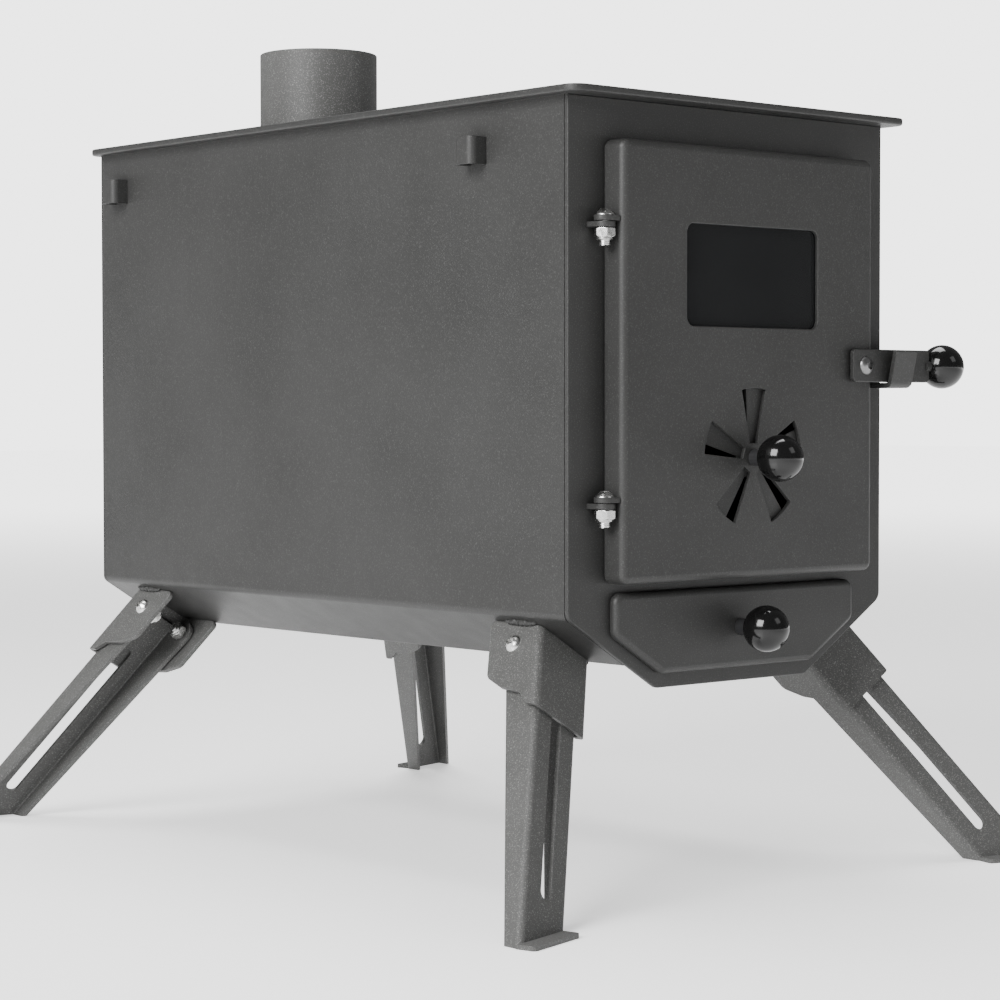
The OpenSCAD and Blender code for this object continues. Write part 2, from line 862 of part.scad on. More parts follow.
module drawer_front() {
    low_half = drawer_half - drawer_bevel_w;
    bevel = drawer_low + drawer_bevel_w * bevel_h / bevel_w;
    outline = [[-drawer_half, bevel], [-low_half, drawer_low], [low_half, drawer_low],
               [drawer_half, bevel], [drawer_half, drawer_top], [-drawer_half, drawer_top]];
    small = drawer_r - drawer_t;
    color(black_coat)
        difference() {
            sheet_xz(drawer_face, drawer_back)
                polygon(eased_outline(outline,
                                      [drawer_r, drawer_r, drawer_r, drawer_r, drawer_r, drawer_r]));
            sheet_xz(drawer_face + drawer_t, drawer_back + cut)
                polygon(eased_outline(inset_outline(outline, drawer_t),
                                      [small, small, small, small, small, small]));
            rod_y(0, knob_z, drawer_face - cut, drawer_back, hole_r);
        }
}

module ash_tray() {
    y0 = drawer_face + drawer_t;
    y1 = front_y + plate_t + tray_d;
    color(black_coat)
        difference() {
            translate([-tray_w / 2, y0, tray_low])
                cube([tray_w, y1 - y0, tray_h]);
            translate([-tray_w / 2 + tray_t, y0 + tray_t, tray_low + tray_t])
                cube([tray_w - 2 * tray_t, y1 - y0 - 2 * tray_t, tray_h]);
            rod_y(0, knob_z, y0 - cut, y0 + tray_t + cut, nut_af * 0.7);
        }
}

module drawer_stem() {
    color(ball_black)
        knob_stem(knob_z, drawer_face, drawer_face + drawer_t + nut_h + nut_collar + screw_r / 2);
}

module drawer_nut() {
    color(steel)
        nut_on_back(0, knob_z, drawer_face + drawer_t + turn_gap);
}

module drawer_knob() {
    color(ball_black)
        ball_knob(knob_z, drawer_face);
}

// Puts a piece of the front left leg, drawn about its pivot, at any of the four corners.
// There X runs along the pivot, down and inwards, Y points away from the bracket's face,
// and Z runs up the leg.
module at_leg(corner) {
    mirror([corner[0] > 0 ? 1 : 0, 0, 0])
        mirror([0, corner[1] > 0 ? 1 : 0, 0])
            translate([pivot_x, pivot_y, pivot_z])
                rotate([0, slope, 0])
                    rotate([-leg_lean, 0, 0])
                        children();
}

// Extrudes an outline drawn in Y and Z over the width w, centred on x = 0
module across(w) {
    translate([-w / 2, 0, 0])
        rotate([90, 0, 90])
            linear_extrude(w)
                children();
}

// Height on the leg's own Z at which the slanted sheet lies, at the distance y from the pivot
function sheet_above(y) = (pivot_drop + y * sin(leg_lean)) / cos(leg_lean);

module leg_bracket() {
    face = -bracket_ahead;
    open = bracket_behind;
    step = bracket_drop * 0.27;
    side = [[face, -bracket_drop], [face + step * 0.6, -bracket_drop + step * 0.3],
            [face + step, -bracket_drop + step],
            [open - step * 0.8, -bracket_drop + step + (open - face - step * 1.8) * 0.6],
            [open, -bracket_drop / 3], [open, sheet_above(open)], [face, sheet_above(face)]];
    half = bracket_w / 2;
    color(black_coat)
        difference() {
            intersection() {
                translate([0, 0, -bracket_drop - cut])
                    linear_extrude(bracket_drop + sheet_above(open) + 2 * cut)
                        polygon(folded_sheet([[-half, open], [-half, face], [half, face],
                                              [half, open]], bracket_t, fold_small));
                across(bracket_w + 2 * cut)
                    polygon(eased_outline(side, [0, bracket_t / 2, bracket_t / 2, step / 2,
                                                 step / 2, bracket_t, 0]));
            }
            translate([-half - cut, 0, 0])
                rotate([0, 90, 0])
                    cylinder(h = bracket_w + 2 * cut, r = hole_r);
        }
}

// How far below the pivot, along the leg, the ground lies under the point x, y of the leg
function ground_below(x, y) =
    (pivot_z - x * sin(slope) - y * sin(leg_lean) * cos(slope)) / (cos(leg_lean) * cos(slope));

module leg_blank() {
    half = leg_w / 2;
    face = -leg_ahead;
    reach = ground_below(-half, face) + cut;
    foot_y = face + leg_foot_depth;
    slot_end = ground_below(0, face) - leg_slot_low;
    slot_top = bracket_drop * 0.75;
    tangent = 90 + leg_lean;
    rim = concat([for (k = [0:2 * corner_steps])
                    leg_end_r * [cos(tangent * k / (2 * corner_steps)),
                                 sin(tangent * k / (2 * corner_steps))]],
                 [[face, -leg_end_r / 2], [face, -reach], [foot_y, -reach]]);
    difference() {
        intersection() {
            translate([0, 0, -reach - cut])
                linear_extrude(reach + leg_end_r + 2 * cut)
                    polygon(folded_sheet([[-half, leg_end_r + cut], [-half, face], [half, face],
                                          [half, leg_end_r + cut]], leg_t, leg_t + cut));
            across(leg_w + 2 * cut)
                polygon(rim);
        }
        translate([-half - cut, 0, 0])
            rotate([0, 90, 0])
                cylinder(h = leg_w + 2 * cut, r = hole_r);
        translate([0, face + leg_t + cut, 0])
            rotate([90, 0, 0])
                linear_extrude(leg_t + 2 * cut)
                    union() {
                        translate([-leg_slot_w / 2, -slot_end])
                            square([leg_slot_w, slot_end - slot_top]);
                        for (z = [-slot_end, -slot_top])
                            translate([0, z])
                                circle(r = leg_slot_w / 2, $fn = 32);
                    }
    }
}

// The turned-out foot: a flat plate on the ground along the lower edge of the leg's face
module leg_foot(corner) {
    half = leg_w / 2;
    ends = [for (x = [-half, half]) leg_point([x, -leg_ahead, -ground_below(x, -leg_ahead)])];
    along = unit([ends[1][0] - ends[0][0], ends[1][1] - ends[0][1]]);
    out = [along[1], -along[0]];
    a = [ends[0][0], ends[0][1]];
    b = [ends[1][0], ends[1][1]];
    mirror([corner[0] > 0 ? 1 : 0, 0, 0])
        mirror([0, corner[1] > 0 ? 1 : 0, 0])
            linear_extrude(leg_t)
                polygon(eased_outline([a - out * leg_t, a + out * foot_out, b + out * foot_out,
                                       b - out * leg_t], [0, leg_t, leg_t, 0]));
}

function about_x(p, a) = [p[0], p[1] * cos(a) - p[2] * sin(a), p[1] * sin(a) + p[2] * cos(a)];
function about_y(p, a) = [p[0] * cos(a) + p[2] * sin(a), p[1], p[2] * cos(a) - p[0] * sin(a)];
// A point of the front left leg, given about its pivot, in the stove's own frame
function leg_point(p) = [pivot_x, pivot_y, pivot_z] + about_y(about_x(p, -leg_lean), slope);

module leg(corner) {
    size = body_d;
    color(black_coat)
        union() {
            difference() {
                at_leg(corner)
                    leg_blank();
                translate([-size, -size, -size])
                    cube([2 * size, 2 * size, size]);
            }
            leg_foot(corner);
        }
}

module leg_screws() {
    grip = bracket_t + leg_gap + leg_t + seat_gap + nut_h + nut_collar + 2 * turn_gap + screw_r / 2;
    color(steel)
        for (corner = LEGS)
            at_leg(corner)
                for (side = [-1, 1])
                    translate([side * (bracket_w / 2 + turn_gap), 0, 0])
                        rotate([0, side * 90, 0])
                            button_screw(grip);
}

module leg_nuts() {
    seat = leg_w / 2 - leg_t - seat_gap;
    color(steel)
        for (corner = LEGS)
            at_leg(corner)
                for (side = [-1, 1])
                    translate([side * seat, 0, 0])
                        rotate([0, -side * 90, 0])
                            lock_nut();
}

module weld_beads() {
    bead = bracket_t * 0.7;
    length = bracket_w / 2;
    out = bracket_w / 2 + turn_gap;
    color(black_coat)
        for (corner = LEGS)
            at_leg(corner)
                rotate([leg_lean, 0, 0])
                    translate([0, 0, pivot_drop - turn_gap])
                        for (side = [-1, 1])
                            scale([side, 1, 1])
                                intersection() {
                                    translate([out, 0, 0])
                                        union() {
                                            translate([0, length / 2, 0])
                                                rotate([90, 0, 0])
                                                    cylinder(h = length, r = bead);
                                            for (end = [-1, 1])
                                                translate([0, end * length / 2, 0])
                                                    sphere(r = bead);
                                        }
                                    translate([out, -length, -length])
                                        cube([length, 2 * length, length]);
                                }
}

body_shell();
front_plate();
rear_plate();
top_plate();
flue_collar();
smoke_baffle();
baffle_ledges();
fire_grate();
grate_ledges();
drawer_guides();
side_loops_left();
side_loops_right();
latch_hook();
hinge_body_tabs();
hinge_screws();
hinge_nuts();
door_panel();
hinge_door_tabs();
seal_wall_ring();
door_seal();
window_glass();
window_frame();
window_studs();
latch_screw();
latch_nut();
latch_washer();
latch_lever();
latch_knob();
spinner_disc();
spinner_stem();
spinner_nut();
spinner_knob();
drawer_front();
ash_tray();
drawer_stem();
drawer_nut();
drawer_knob();
at_leg(LEGS[0]) leg_bracket();  // leg_bracket_front_left
at_leg(LEGS[1]) leg_bracket();  // leg_bracket_front_right
at_leg(LEGS[2]) leg_bracket();  // leg_bracket_rear_left
at_leg(LEGS[3]) leg_bracket();  // leg_bracket_rear_right
leg(LEGS[0]);  // leg_front_left
leg(LEGS[1]);  // leg_front_right
leg(LEGS[2]);  // leg_rear_left
leg(LEGS[3]);  // leg_rear_right
leg_screws();
leg_nuts();
weld_beads();
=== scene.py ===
# %% [markdown]
# A wood stove for a tent, dressed in Blender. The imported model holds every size, place and
# joint of the real stove, so this lesson starts by loading it as a frame. Sheet steel is then
# made again with the soft edges that a folding press and a coat of paint leave, and the small
# hardware is turned as smooth surfaces. What the frame already shows well only gets a finish.
# %% Load the frame
import json
import math

import bmesh
import bpy
import numpy as np
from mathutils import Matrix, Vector
from mathutils.geometry import tessellate_polygon


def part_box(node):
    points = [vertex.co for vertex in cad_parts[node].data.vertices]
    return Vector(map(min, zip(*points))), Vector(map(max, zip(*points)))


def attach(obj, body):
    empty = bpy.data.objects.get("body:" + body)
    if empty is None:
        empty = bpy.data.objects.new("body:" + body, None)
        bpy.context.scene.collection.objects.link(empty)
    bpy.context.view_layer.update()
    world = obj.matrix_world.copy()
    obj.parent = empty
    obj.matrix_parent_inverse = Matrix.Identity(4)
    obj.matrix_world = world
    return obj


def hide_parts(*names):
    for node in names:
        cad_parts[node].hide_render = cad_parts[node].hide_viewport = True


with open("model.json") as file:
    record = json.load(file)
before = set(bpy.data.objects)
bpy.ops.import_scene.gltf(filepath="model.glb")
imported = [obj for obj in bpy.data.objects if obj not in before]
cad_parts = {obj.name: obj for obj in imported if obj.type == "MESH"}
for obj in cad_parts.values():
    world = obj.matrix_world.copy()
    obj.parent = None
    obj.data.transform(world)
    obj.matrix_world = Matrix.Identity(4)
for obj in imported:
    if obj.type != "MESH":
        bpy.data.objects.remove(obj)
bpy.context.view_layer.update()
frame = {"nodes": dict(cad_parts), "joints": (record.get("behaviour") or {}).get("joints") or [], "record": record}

MM = 0.001
nodes = frame["nodes"]
body_of_node = {n: b for b, ns in frame["record"]["behaviour"]["bodies"].items() for n in ns}
slot_of_node = {s["node"]: s["material_slot"] for s in frame["record"]["subparts"]}
print("nodes in the frame:", len(nodes))

# %% [markdown]
# The camera comes first, because everything is judged through it. Its place was worked out
# from the corners of the firebox: a long lens, a little above the ground, looking at the
# stove's front left corner. A look-at helper would hide the small roll, so the three turns
# are given as they are.
# %% Camera
CAMERA_PLACE = (-1.0417, -1.2236, 0.2616)
CAMERA_TURNS = (90.0 - 1.95, 0.06, -41.06)
camera_data = bpy.data.cameras.new("photo_camera")
camera_data.lens = 94.5
camera_data.sensor_width = 36.0
camera = bpy.data.objects.new("photo_camera", camera_data)
camera.location = CAMERA_PLACE
camera.rotation_euler = [math.radians(a) for a in CAMERA_TURNS]
bpy.context.scene.collection.objects.link(camera)
bpy.context.scene.camera = camera
print("camera stands", round(math.hypot(*CAMERA_PLACE[:2]), 2), "m from the stove's middle")

# %% [markdown]
# The photograph is a product shot on white: a pale floor that melts into a white room. The
# floor glows a little, as an overexposed one does, and lights the slanted sheet from below.
# The glow grows with the distance from the stove until floor and room melt together.
# %% Floor
def plain_material(name, colour, roughness):
    """A Principled material with these two values set, ready for more nodes."""
    material = bpy.data.materials.new(name)
    material.use_nodes = True
    shader = material.node_tree.nodes["Principled BSDF"]
    shader.inputs["Base Color"].default_value = (*colour, 1)
    shader.inputs["Roughness"].default_value = roughness
    return material, shader


FLOOR_HALF = 14.0
# Two distances from the stove in metres, and the strength of the glow at each
GLOW = {"From Min": 0.9, "From Max": 6.0, "To Min": 0.7, "To Max": 3.2}
floor_mesh = bpy.data.meshes.new("floor")
floor_mesh.from_pydata([(-FLOOR_HALF, -FLOOR_HALF, 0), (FLOOR_HALF, -FLOOR_HALF, 0),
                        (FLOOR_HALF, FLOOR_HALF, 0), (-FLOOR_HALF, FLOOR_HALF, 0)],
                       [], [(0, 1, 2, 3)])
floor = bpy.data.objects.new("floor", floor_mesh)
floor_finish, floor_shader = plain_material("pale_floor", (0.93, 0.93, 0.93), 0.3)
floor_shader.inputs["Emission Color"].default_value = (1, 1, 1, 1)
floor_tree = floor_finish.node_tree
floor_place = floor_tree.nodes.new("ShaderNodeTexCoord")
far_off = floor_tree.nodes.new("ShaderNodeVectorMath")
far_off.operation = "LENGTH"
glow = floor_tree.nodes.new("ShaderNodeMapRange")
glow.interpolation_type = "SMOOTHSTEP"
for socket, value in GLOW.items():
    glow.inputs[socket].default_value = value
floor_tree.links.new(floor_place.outputs["Object"], far_off.inputs[0])
floor_tree.links.new(far_off.outputs["Value"], glow.inputs["Value"])
floor_tree.links.new(glow.outputs["Result"], floor_shader.inputs["Emission Strength"])
floor_mesh.materials.append(floor_finish)
bpy.context.scene.collection.objects.link(floor)
print("floor:", 2 * FLOOR_HALF, "m wide")

# %% [markdown]
# One large soft light stands on the left side of the stove, and weaker ones in front and
# above. Area lights are used because their size sets how soft the gloss on the round knobs
# is. The room looks white to the camera but sheds much less light, so that black stays black.
# %% Room and lights
ROOM_SHEDS, ROOM_SHOWS = 0.2, 3.6
world = bpy.data.worlds.new("white_room")
world.use_nodes = True
room = world.node_tree.nodes["Background"]
room.inputs["Color"].default_value = (1, 1, 1, 1)
ray = world.node_tree.nodes.new("ShaderNodeLightPath")
brightness = world.node_tree.nodes.new("ShaderNodeMapRange")
brightness.inputs["To Min"].default_value = ROOM_SHEDS
brightness.inputs["To Max"].default_value = ROOM_SHOWS
world.node_tree.links.new(ray.outputs["Is Camera Ray"], brightness.inputs["Value"])
world.node_tree.links.new(brightness.outputs["Result"], room.inputs["Strength"])
bpy.context.scene.world = world


def soft_light(name, place, aim, size, power):
    """A square area light at place, turned so that it shines at aim."""
    data = bpy.data.lights.new(name, "AREA")
    data.shape = "SQUARE"
    data.size = size
    data.energy = power
    light = bpy.data.objects.new(name, data)
    light.location = place
    light.rotation_euler = (Vector(aim) - Vector(place)).to_track_quat("-Z", "Y").to_euler()
    bpy.context.scene.collection.objects.link(light)


soft_light("left_light", (-2.3, -0.55, 1.5), (-0.1, -0.1, 0.25), size=1.4, power=150)
soft_light("front_light", (1.0, -2.5, 1.9), (0, -0.1, 0.26), size=1.2, power=9)
soft_light("top_light", (0.2, 0.5, 2.6), (0, 0, 0.3), size=1.6, power=100)

# %% [markdown]
# The stove's finish is a high-temperature powder coat: dark grey, satin, with a fine pebbled
# skin and tiny flecks that catch the light. A single noise looks like fog at this scale, so
# four are layered: pebbles under a millimetre wide lift the surface, flecks brighten it here
# and there, a slow cloud keeps the big panels from looking like one flat colour, and the
# fourth makes some patches a little glossier than others. The legs, their brackets and the
# flue collar get a copy of the coat whose grain stands out more and whose greys are about
# three times lighter. That lightness is painted light, for the extra light these tilted and
# round parts catch. Soot dulls what is in the fire.
# %% Finishes for the steel
def noise(tree, scale, detail, coordinates):
    """A noise texture over the object's own coordinates, in features per metre."""
    texture = tree.nodes.new("ShaderNodeTexNoise")
    texture.inputs["Scale"].default_value = scale
    texture.inputs["Detail"].default_value = detail
    tree.links.new(coordinates.outputs["Object"], texture.inputs["Vector"])
    return texture


def ramp(tree, source, stops):
    """A colour ramp over a texture's value, with stops of (place, grey or colour)."""
    made = tree.nodes.new("ShaderNodeValToRGB")
    points = made.color_ramp.elements
    for k, (at, value) in enumerate(stops):
        point = points[k] if k < 2 else points.new(at)
        point.position = at
        point.color = (*value, 1) if isinstance(value, tuple) else (value, value, value, 1)
    tree.links.new(source, made.inputs["Fac"])
    return made


def coated(name, dark, light, fleck, rough, pebble, lift):
    """Powder-coated steel: cloud between two greys, flecks, and pebbles as bump."""
    material, shader = plain_material(name, dark, rough)
    tree = material.node_tree
    coordinates = tree.nodes.new("ShaderNodeTexCoord")
    cloud = ramp(tree, noise(tree, 14, 4, coordinates).outputs["Fac"], [(0.3, dark), (0.7, light)])
    spots = ramp(tree, noise(tree, pebble * 0.8, 1, coordinates).outputs["Fac"],
                 [(0.56, 0.0), (0.76, 1.0)])
    mix = tree.nodes.new("ShaderNodeMix")
    mix.data_type = "RGBA"
    tree.links.new(spots.outputs["Color"], mix.inputs["Factor"])
    tree.links.new(cloud.outputs["Color"], mix.inputs["A"])
    mix.inputs["B"].default_value = (*fleck, 1)
    tree.links.new(mix.outputs["Result"], shader.inputs["Base Color"])
    wear = ramp(tree, noise(tree, 60, 5, coordinates).outputs["Fac"],
                [(0.3, rough - 0.025), (0.7, rough + 0.03)])
    tree.links.new(wear.outputs["Color"], shader.inputs["Roughness"])
    shader.inputs["Specular IOR Level"].default_value = 0.3
    bump = tree.nodes.new("ShaderNodeBump")
    bump.inputs["Strength"].default_value = lift
    bump.inputs["Distance"].default_value = 0.15 * MM
    tree.links.new(noise(tree, pebble, 2, coordinates).outputs["Fac"], bump.inputs["Height"])
    tree.links.new(bump.outputs["Normal"], shader.inputs["Normal"])
    return material


coated_steel = coated("coated_steel", dark=(0.0165, 0.0165, 0.016), light=(0.0215, 0.0215, 0.021),
                      fleck=(0.042, 0.042, 0.041), rough=0.47, pebble=1700, lift=0.5)
# A lighter copy of the same coat with a stronger grain: its lighter greys are painted light
grain_and_painted_light_steel = coated("grain_and_painted_light_steel", dark=(0.05, 0.05, 0.0485), light=(0.064, 0.064, 0.0625),
                       fleck=(0.17, 0.17, 0.166), rough=0.5, pebble=1900, lift=0.9)
sooted_steel = coated("sooted_steel", dark=(0.012, 0.0115, 0.011), light=(0.026, 0.024, 0.022),
                      fleck=(0.05, 0.047, 0.044), rough=0.75, pebble=900, lift=0.8)
print("steel finishes:", coated_steel.name, grain_and_painted_light_steel.name, sooted_steel.name)

# %% [markdown]
# Screws and nuts are bright stainless steel with a fine grain, and those of the latch are
# duller. The knobs are moulded black resin, polished so that they mirror the room; under that
# gloss the colour wanders a little and the surface has very faint moulding waves. The glass
# is given a near-black colour and lets little light through: painted shade, for the dark
# firebox behind the window. The seal is a braided glass-fibre rope.
# %% Finishes for hardware, knobs, glass and rope
def with_grain(name, colour, rough, metallic, scale, lift, spread, depth=0.05):
    """A material whose colour, roughness and height all follow one noise of the given scale."""
    material, shader = plain_material(name, colour, rough)
    shader.inputs["Metallic"].default_value = metallic
    tree = material.node_tree
    coordinates = tree.nodes.new("ShaderNodeTexCoord")
    grain = noise(tree, scale, 3, coordinates)
    tone = ramp(tree, grain.outputs["Fac"], [(0.25, tuple(c * 0.82 for c in colour)), (0.75, colour)])
    tree.links.new(tone.outputs["Color"], shader.inputs["Base Color"])
    rougher = ramp(tree, grain.outputs["Fac"], [(0.3, max(rough - spread, 0.02)), (0.7, rough + spread)])
    tree.links.new(rougher.outputs["Color"], shader.inputs["Roughness"])
    bump = tree.nodes.new("ShaderNodeBump")
    bump.inputs["Strength"].default_value = lift
    bump.inputs["Distance"].default_value = depth * MM
    tree.links.new(grain.outputs["Fac"], bump.inputs["Height"])
    tree.links.new(bump.outputs["Normal"], shader.inputs["Normal"])
    return material, shader


bright_steel, _ = with_grain("bright_steel", (0.56, 0.56, 0.55), rough=0.26, metallic=1.0,
                             scale=420, lift=0.03, spread=0.04)
dull_steel, _ = with_grain("dull_steel", (0.2, 0.2, 0.2), rough=0.36, metallic=1.0,
                           scale=420, lift=0.08, spread=0.05)
black_steel, _ = with_grain("black_steel", (0.02, 0.02, 0.021), rough=0.38, metallic=0.0,
                            scale=1100, lift=0.4, spread=0.08)
black_ball, ball_shader = with_grain("black_ball", (0.004, 0.004, 0.004), rough=0.12, metallic=0.0,
                                     scale=160, lift=0.05, spread=0.03)
ball_shader.inputs["Specular IOR Level"].default_value = 0.36
# Near-black glass that lets little light through: painted shade for the dark firebox behind it
dark_glass, glass_shader = with_grain("dark_glass", (0.012, 0.0125, 0.013), rough=0.06, metallic=0.0,
                                      scale=25, lift=0.01, spread=0.02)
glass_shader.inputs["Transmission Weight"].default_value = 0.15
glass_shader.inputs["Specular IOR Level"].default_value = 0.3
glass_shader.inputs["IOR"].default_value = 1.47
seal_rope, _ = with_grain("seal_rope", (0.46, 0.45, 0.41), rough=0.9, metallic=0.0,
                          scale=900, lift=1.0, spread=0.05, depth=0.5)
finish_of_slot = {"coated_steel": coated_steel, "bright_steel": bright_steel,
                  "black_steel": black_steel, "black_ball": black_ball,
                  "dark_glass": dark_glass, "seal_rope": seal_rope}
print("finishes by slot:", sorted(finish_of_slot))

# %% [markdown]
# Every node of the frame first gets its finish. The pieces inside the fire, and the tray that
# catches the ash, are the sooted steel. A node that is made again below is hidden then.
# %% Finish every node
INSIDE_THE_FIRE = {"smoke_baffle", "baffle_ledges", "fire_grate", "grate_ledges",
                   "drawer_guides", "ash_tray"}
LATCH_HARDWARE = {"latch_screw", "latch_washer", "latch_nut"}
for name, node in nodes.items():
    finish = sooted_steel if name in INSIDE_THE_FIRE else finish_of_slot[slot_of_node[name]]
    # Legs, brackets and the flue collar take the lighter copy: painted light on the same coat
    if (name.startswith("leg_") or name == "flue_collar") and finish is coated_steel:
        finish = grain_and_painted_light_steel
    if name in LATCH_HARDWARE:
        finish = dull_steel
    node.data.materials.clear()
    node.data.materials.append(finish)
print("sooted:", sorted(INSIDE_THE_FIRE))

# %% [markdown]
# Three helpers turn arrays into finished pieces. One puts points and faces into a mesh,
# smooths it and keeps real corners sharp. Flat panels next to a small rounding would shade
# like cushions, so a Weighted Normal modifier lets the large faces decide. Another hides the
# node that the new piece stands for and makes the piece ride on the same body. The last reads
# where a node is, because each new piece takes its size and place from its node.
# %% From arrays to pieces
def mesh_object(name, points, faces, sharp_from=38.0):
    """An object at the origin from an N x 3 array and a list of faces, outward and smooth."""
    mesh = bpy.data.meshes.new(name)
    mesh.from_pydata(points.tolist(), [], faces)
    work = bmesh.new()
    work.from_mesh(mesh)
    bmesh.ops.remove_doubles(work, verts=work.verts, dist=0.002 * MM)
    bmesh.ops.recalc_face_normals(work, faces=work.faces)
    work.to_mesh(mesh)
    work.free()
    mesh.polygons.foreach_set("use_smooth", np.ones(len(mesh.polygons), bool))
    mesh.set_sharp_from_angle(angle=math.radians(sharp_from))
    made = bpy.data.objects.new(name, mesh)
    bpy.context.scene.collection.objects.link(made)
    weighted = made.modifiers.new("flat_faces_lead", "WEIGHTED_NORMAL")
    weighted.keep_sharp = True
    return made


def stands_for(piece, *replaced):
    """Gives the piece the finish, slot and body of the nodes that it stands for."""
    first = replaced[0]
    piece.data.materials.clear()
    piece.data.materials.append(nodes[first].data.materials[0])
    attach(piece, body_of_node[first])
    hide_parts(*replaced)
    return piece


def corners_of(name):
    """The node's lowest and highest corners as arrays, in metres."""
    return [np.array(v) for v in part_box(name)]


print("the firebox reaches from", *(c.round(3).tolist() for c in corners_of("body_shell")))


# %% [markdown]
# A pressed panel is a flat outline with openings, and an edge profile that runs round each of
# them. The outline is an array of points that runs anticlockwise, an opening runs the other
# way, and a profile is a list of (how far into the steel, how deep). Carrying the profile
# along the outline gives the rounded edge, the wall and, on the door, the folded-back rim.
# %% Pressed panels
def moved_in(loop, distance):
    """Each point moves by distance * (a + b) / (1 + a.b), where a and b are the unit normals
    on the left of the two edges that meet there."""
    step = np.roll(loop, -1, 0) - loop
    step /= np.linalg.norm(step, axis=1, keepdims=True)
    after = np.column_stack([-step[:, 1], step[:, 0]])
    before = np.roll(after, 1, 0)
    share = 1 + np.sum(before * after, axis=1, keepdims=True)
    return loop + distance * (before + after) / share


def turned_way(loop, anticlockwise):
    """The loop in the asked direction, told from the sign of its area."""
    after = np.roll(loop, -1, 0)
    area = np.sum(loop[:, 0] * after[:, 1] - loop[:, 1] * after[:, 0])
    return loop if (area > 0) == anticlockwise else loop[::-1]


def filled(rings, indices, upright):
    """Triangles across the first ring with the others cut out, all facing the same way."""
    flat = [list(map(Vector, np.column_stack([r[:, :2], 0 * r[:, 0]]).tolist())) for r in rings]
    triangles = np.array(tessellate_polygon(flat))
    corner = np.concatenate(rings)[triangles][:, :, :2]
    a, b = corner[:, 1] - corner[:, 0], corner[:, 2] - corner[:, 0]
    facing = a[:, 0] * b[:, 1] - a[:, 1] * b[:, 0] > 0
    triangles[facing != upright] = triangles[facing != upright][:, ::-1]
    return np.concatenate(indices)[triangles]


def panel(name, loops, profiles, level=False):
    """Carries each profile along its loop and fills the front and the back. Loops lie in X
    and Z with depth along Y, or in X and Y with depth along Z where level is true."""
    points, quads, first, last, start = [], [], [], [], 0
    for k, (loop, profile) in enumerate(zip(loops, profiles)):
        loop = turned_way(np.asarray(loop, float), k == 0)
        rings = np.stack([np.column_stack([moved_in(loop, d), np.full(len(loop), depth)])
                          for d, depth in profile])
        index = start + np.arange(rings[:, :, 0].size).reshape(rings.shape[:2])
        near, far = index[:-1], index[1:]
        quads.append(np.stack([near, far, np.roll(far, -1, 1), np.roll(near, -1, 1)],
                              -1).reshape(-1, 4))
        points.append(rings.reshape(-1, 3))
        first.append((rings[0], index[0]))
        last.append((rings[-1], index[-1]))
        start += index.size
    faces = np.concatenate(quads).tolist()
    faces += filled(*zip(*first), True).tolist() + filled(*zip(*last), False).tolist()
    points = np.concatenate(points)
    return mesh_object(name, points if level else points[:, [0, 2, 1]], faces)


unit_square = np.array([(0, 0), (1, 0), (1, 1), (0, 1)], float)
print("a square moved in by a tenth:", moved_in(unit_square, 0.1).round(2).tolist())

# %% [markdown]
# No press leaves a sharp corner in a sheet, so each corner of an outline is an arc that touches
# both of its edges. Two edge profiles are enough for the whole stove: the soft edge of a plain
# plate, and the folded pan of the door and the drawer front.
# %% Outlines and edges
def arc(angles, radius, centre):
    """Points at the given angles in degrees, radius away from the centre."""
    turn = np.radians(angles)
    return np.column_stack([np.cos(turn), np.sin(turn)]) * radius + centre


def rounded_rect(low, high, radius, steps=8):
    """A rectangle between two corners, with a quarter circle of that radius at each."""
    low, high = np.asarray(low, float) + radius, np.asarray(high, float) - radius
    centres = [(high[0], high[1]), (low[0], high[1]), (low[0], low[1]), (high[0], low[1])]
    return np.concatenate([arc(np.linspace(q * 90, q * 90 + 90, steps), radius, c)
                           for q, c in enumerate(centres)])


def eased(corners, radius, steps=7, square=()):
    """An outline whose corners become arcs that touch both of their edges. The corners
    whose numbers are in square stay as they are."""
    p = np.asarray(corners, float)
    out = []
    for k in range(len(p)):
        if k in square:
            out.append(p[k:k + 1])
            continue
        u, v = p[k - 1] - p[k], p[(k + 1) % len(p)] - p[k]
        u, v = u / np.linalg.norm(u), v / np.linalg.norm(v)
        half = math.acos(np.clip(u @ v, -1, 1)) / 2
        middle = p[k] + (u + v) / np.linalg.norm(u + v) * radius / math.sin(half)
        start = p[k] + u * radius / math.tan(half) - middle
        end = p[k] + v * radius / math.tan(half) - middle
        a0 = math.degrees(math.atan2(start[1], start[0]))
        a1 = math.degrees(math.atan2(end[1], end[0]))
        a1 = a0 + (a1 - a0 + 180) % 360 - 180
        out.append(arc(np.linspace(a0, a1, steps), radius, middle))
    return np.concatenate(out)


def soft_edge(near, far, radius, steps=4):
    """The profile of a plain plate: a quarter round, the wall, and a quarter round."""
    turn = np.linspace(0, math.pi / 2, steps)
    way = 1 if far > near else -1
    front = np.column_stack([radius * (1 - np.sin(turn)), near + way * radius * (1 - np.cos(turn))])
    back = np.column_stack([radius * (1 - np.cos(turn)), far - way * radius * (1 - np.sin(turn))])
    return np.concatenate([front, back])


def pan_edge(face, rim, thick, radius, steps=7):
    """The profile of a folded pan: a wide fold, the side, the rim, and back up inside."""
    turn = np.linspace(0, math.pi / 2, steps)
    fold = np.column_stack([radius * (1 - np.sin(turn)), face + radius * (1 - np.cos(turn))])
    lip = np.array([(0, rim - thick * 0.3), (thick * 0.12, rim - thick * 0.1), (thick * 0.3, rim),
                    (thick * 0.7, rim), (thick * 0.88, rim - thick * 0.1), (thick, rim - thick * 0.3),
                    (thick, face + thick)])
    return np.concatenate([fold, lip])


print("a rounded rectangle has", len(rounded_rect((0, 0), (1, 1), 0.1)), "points")

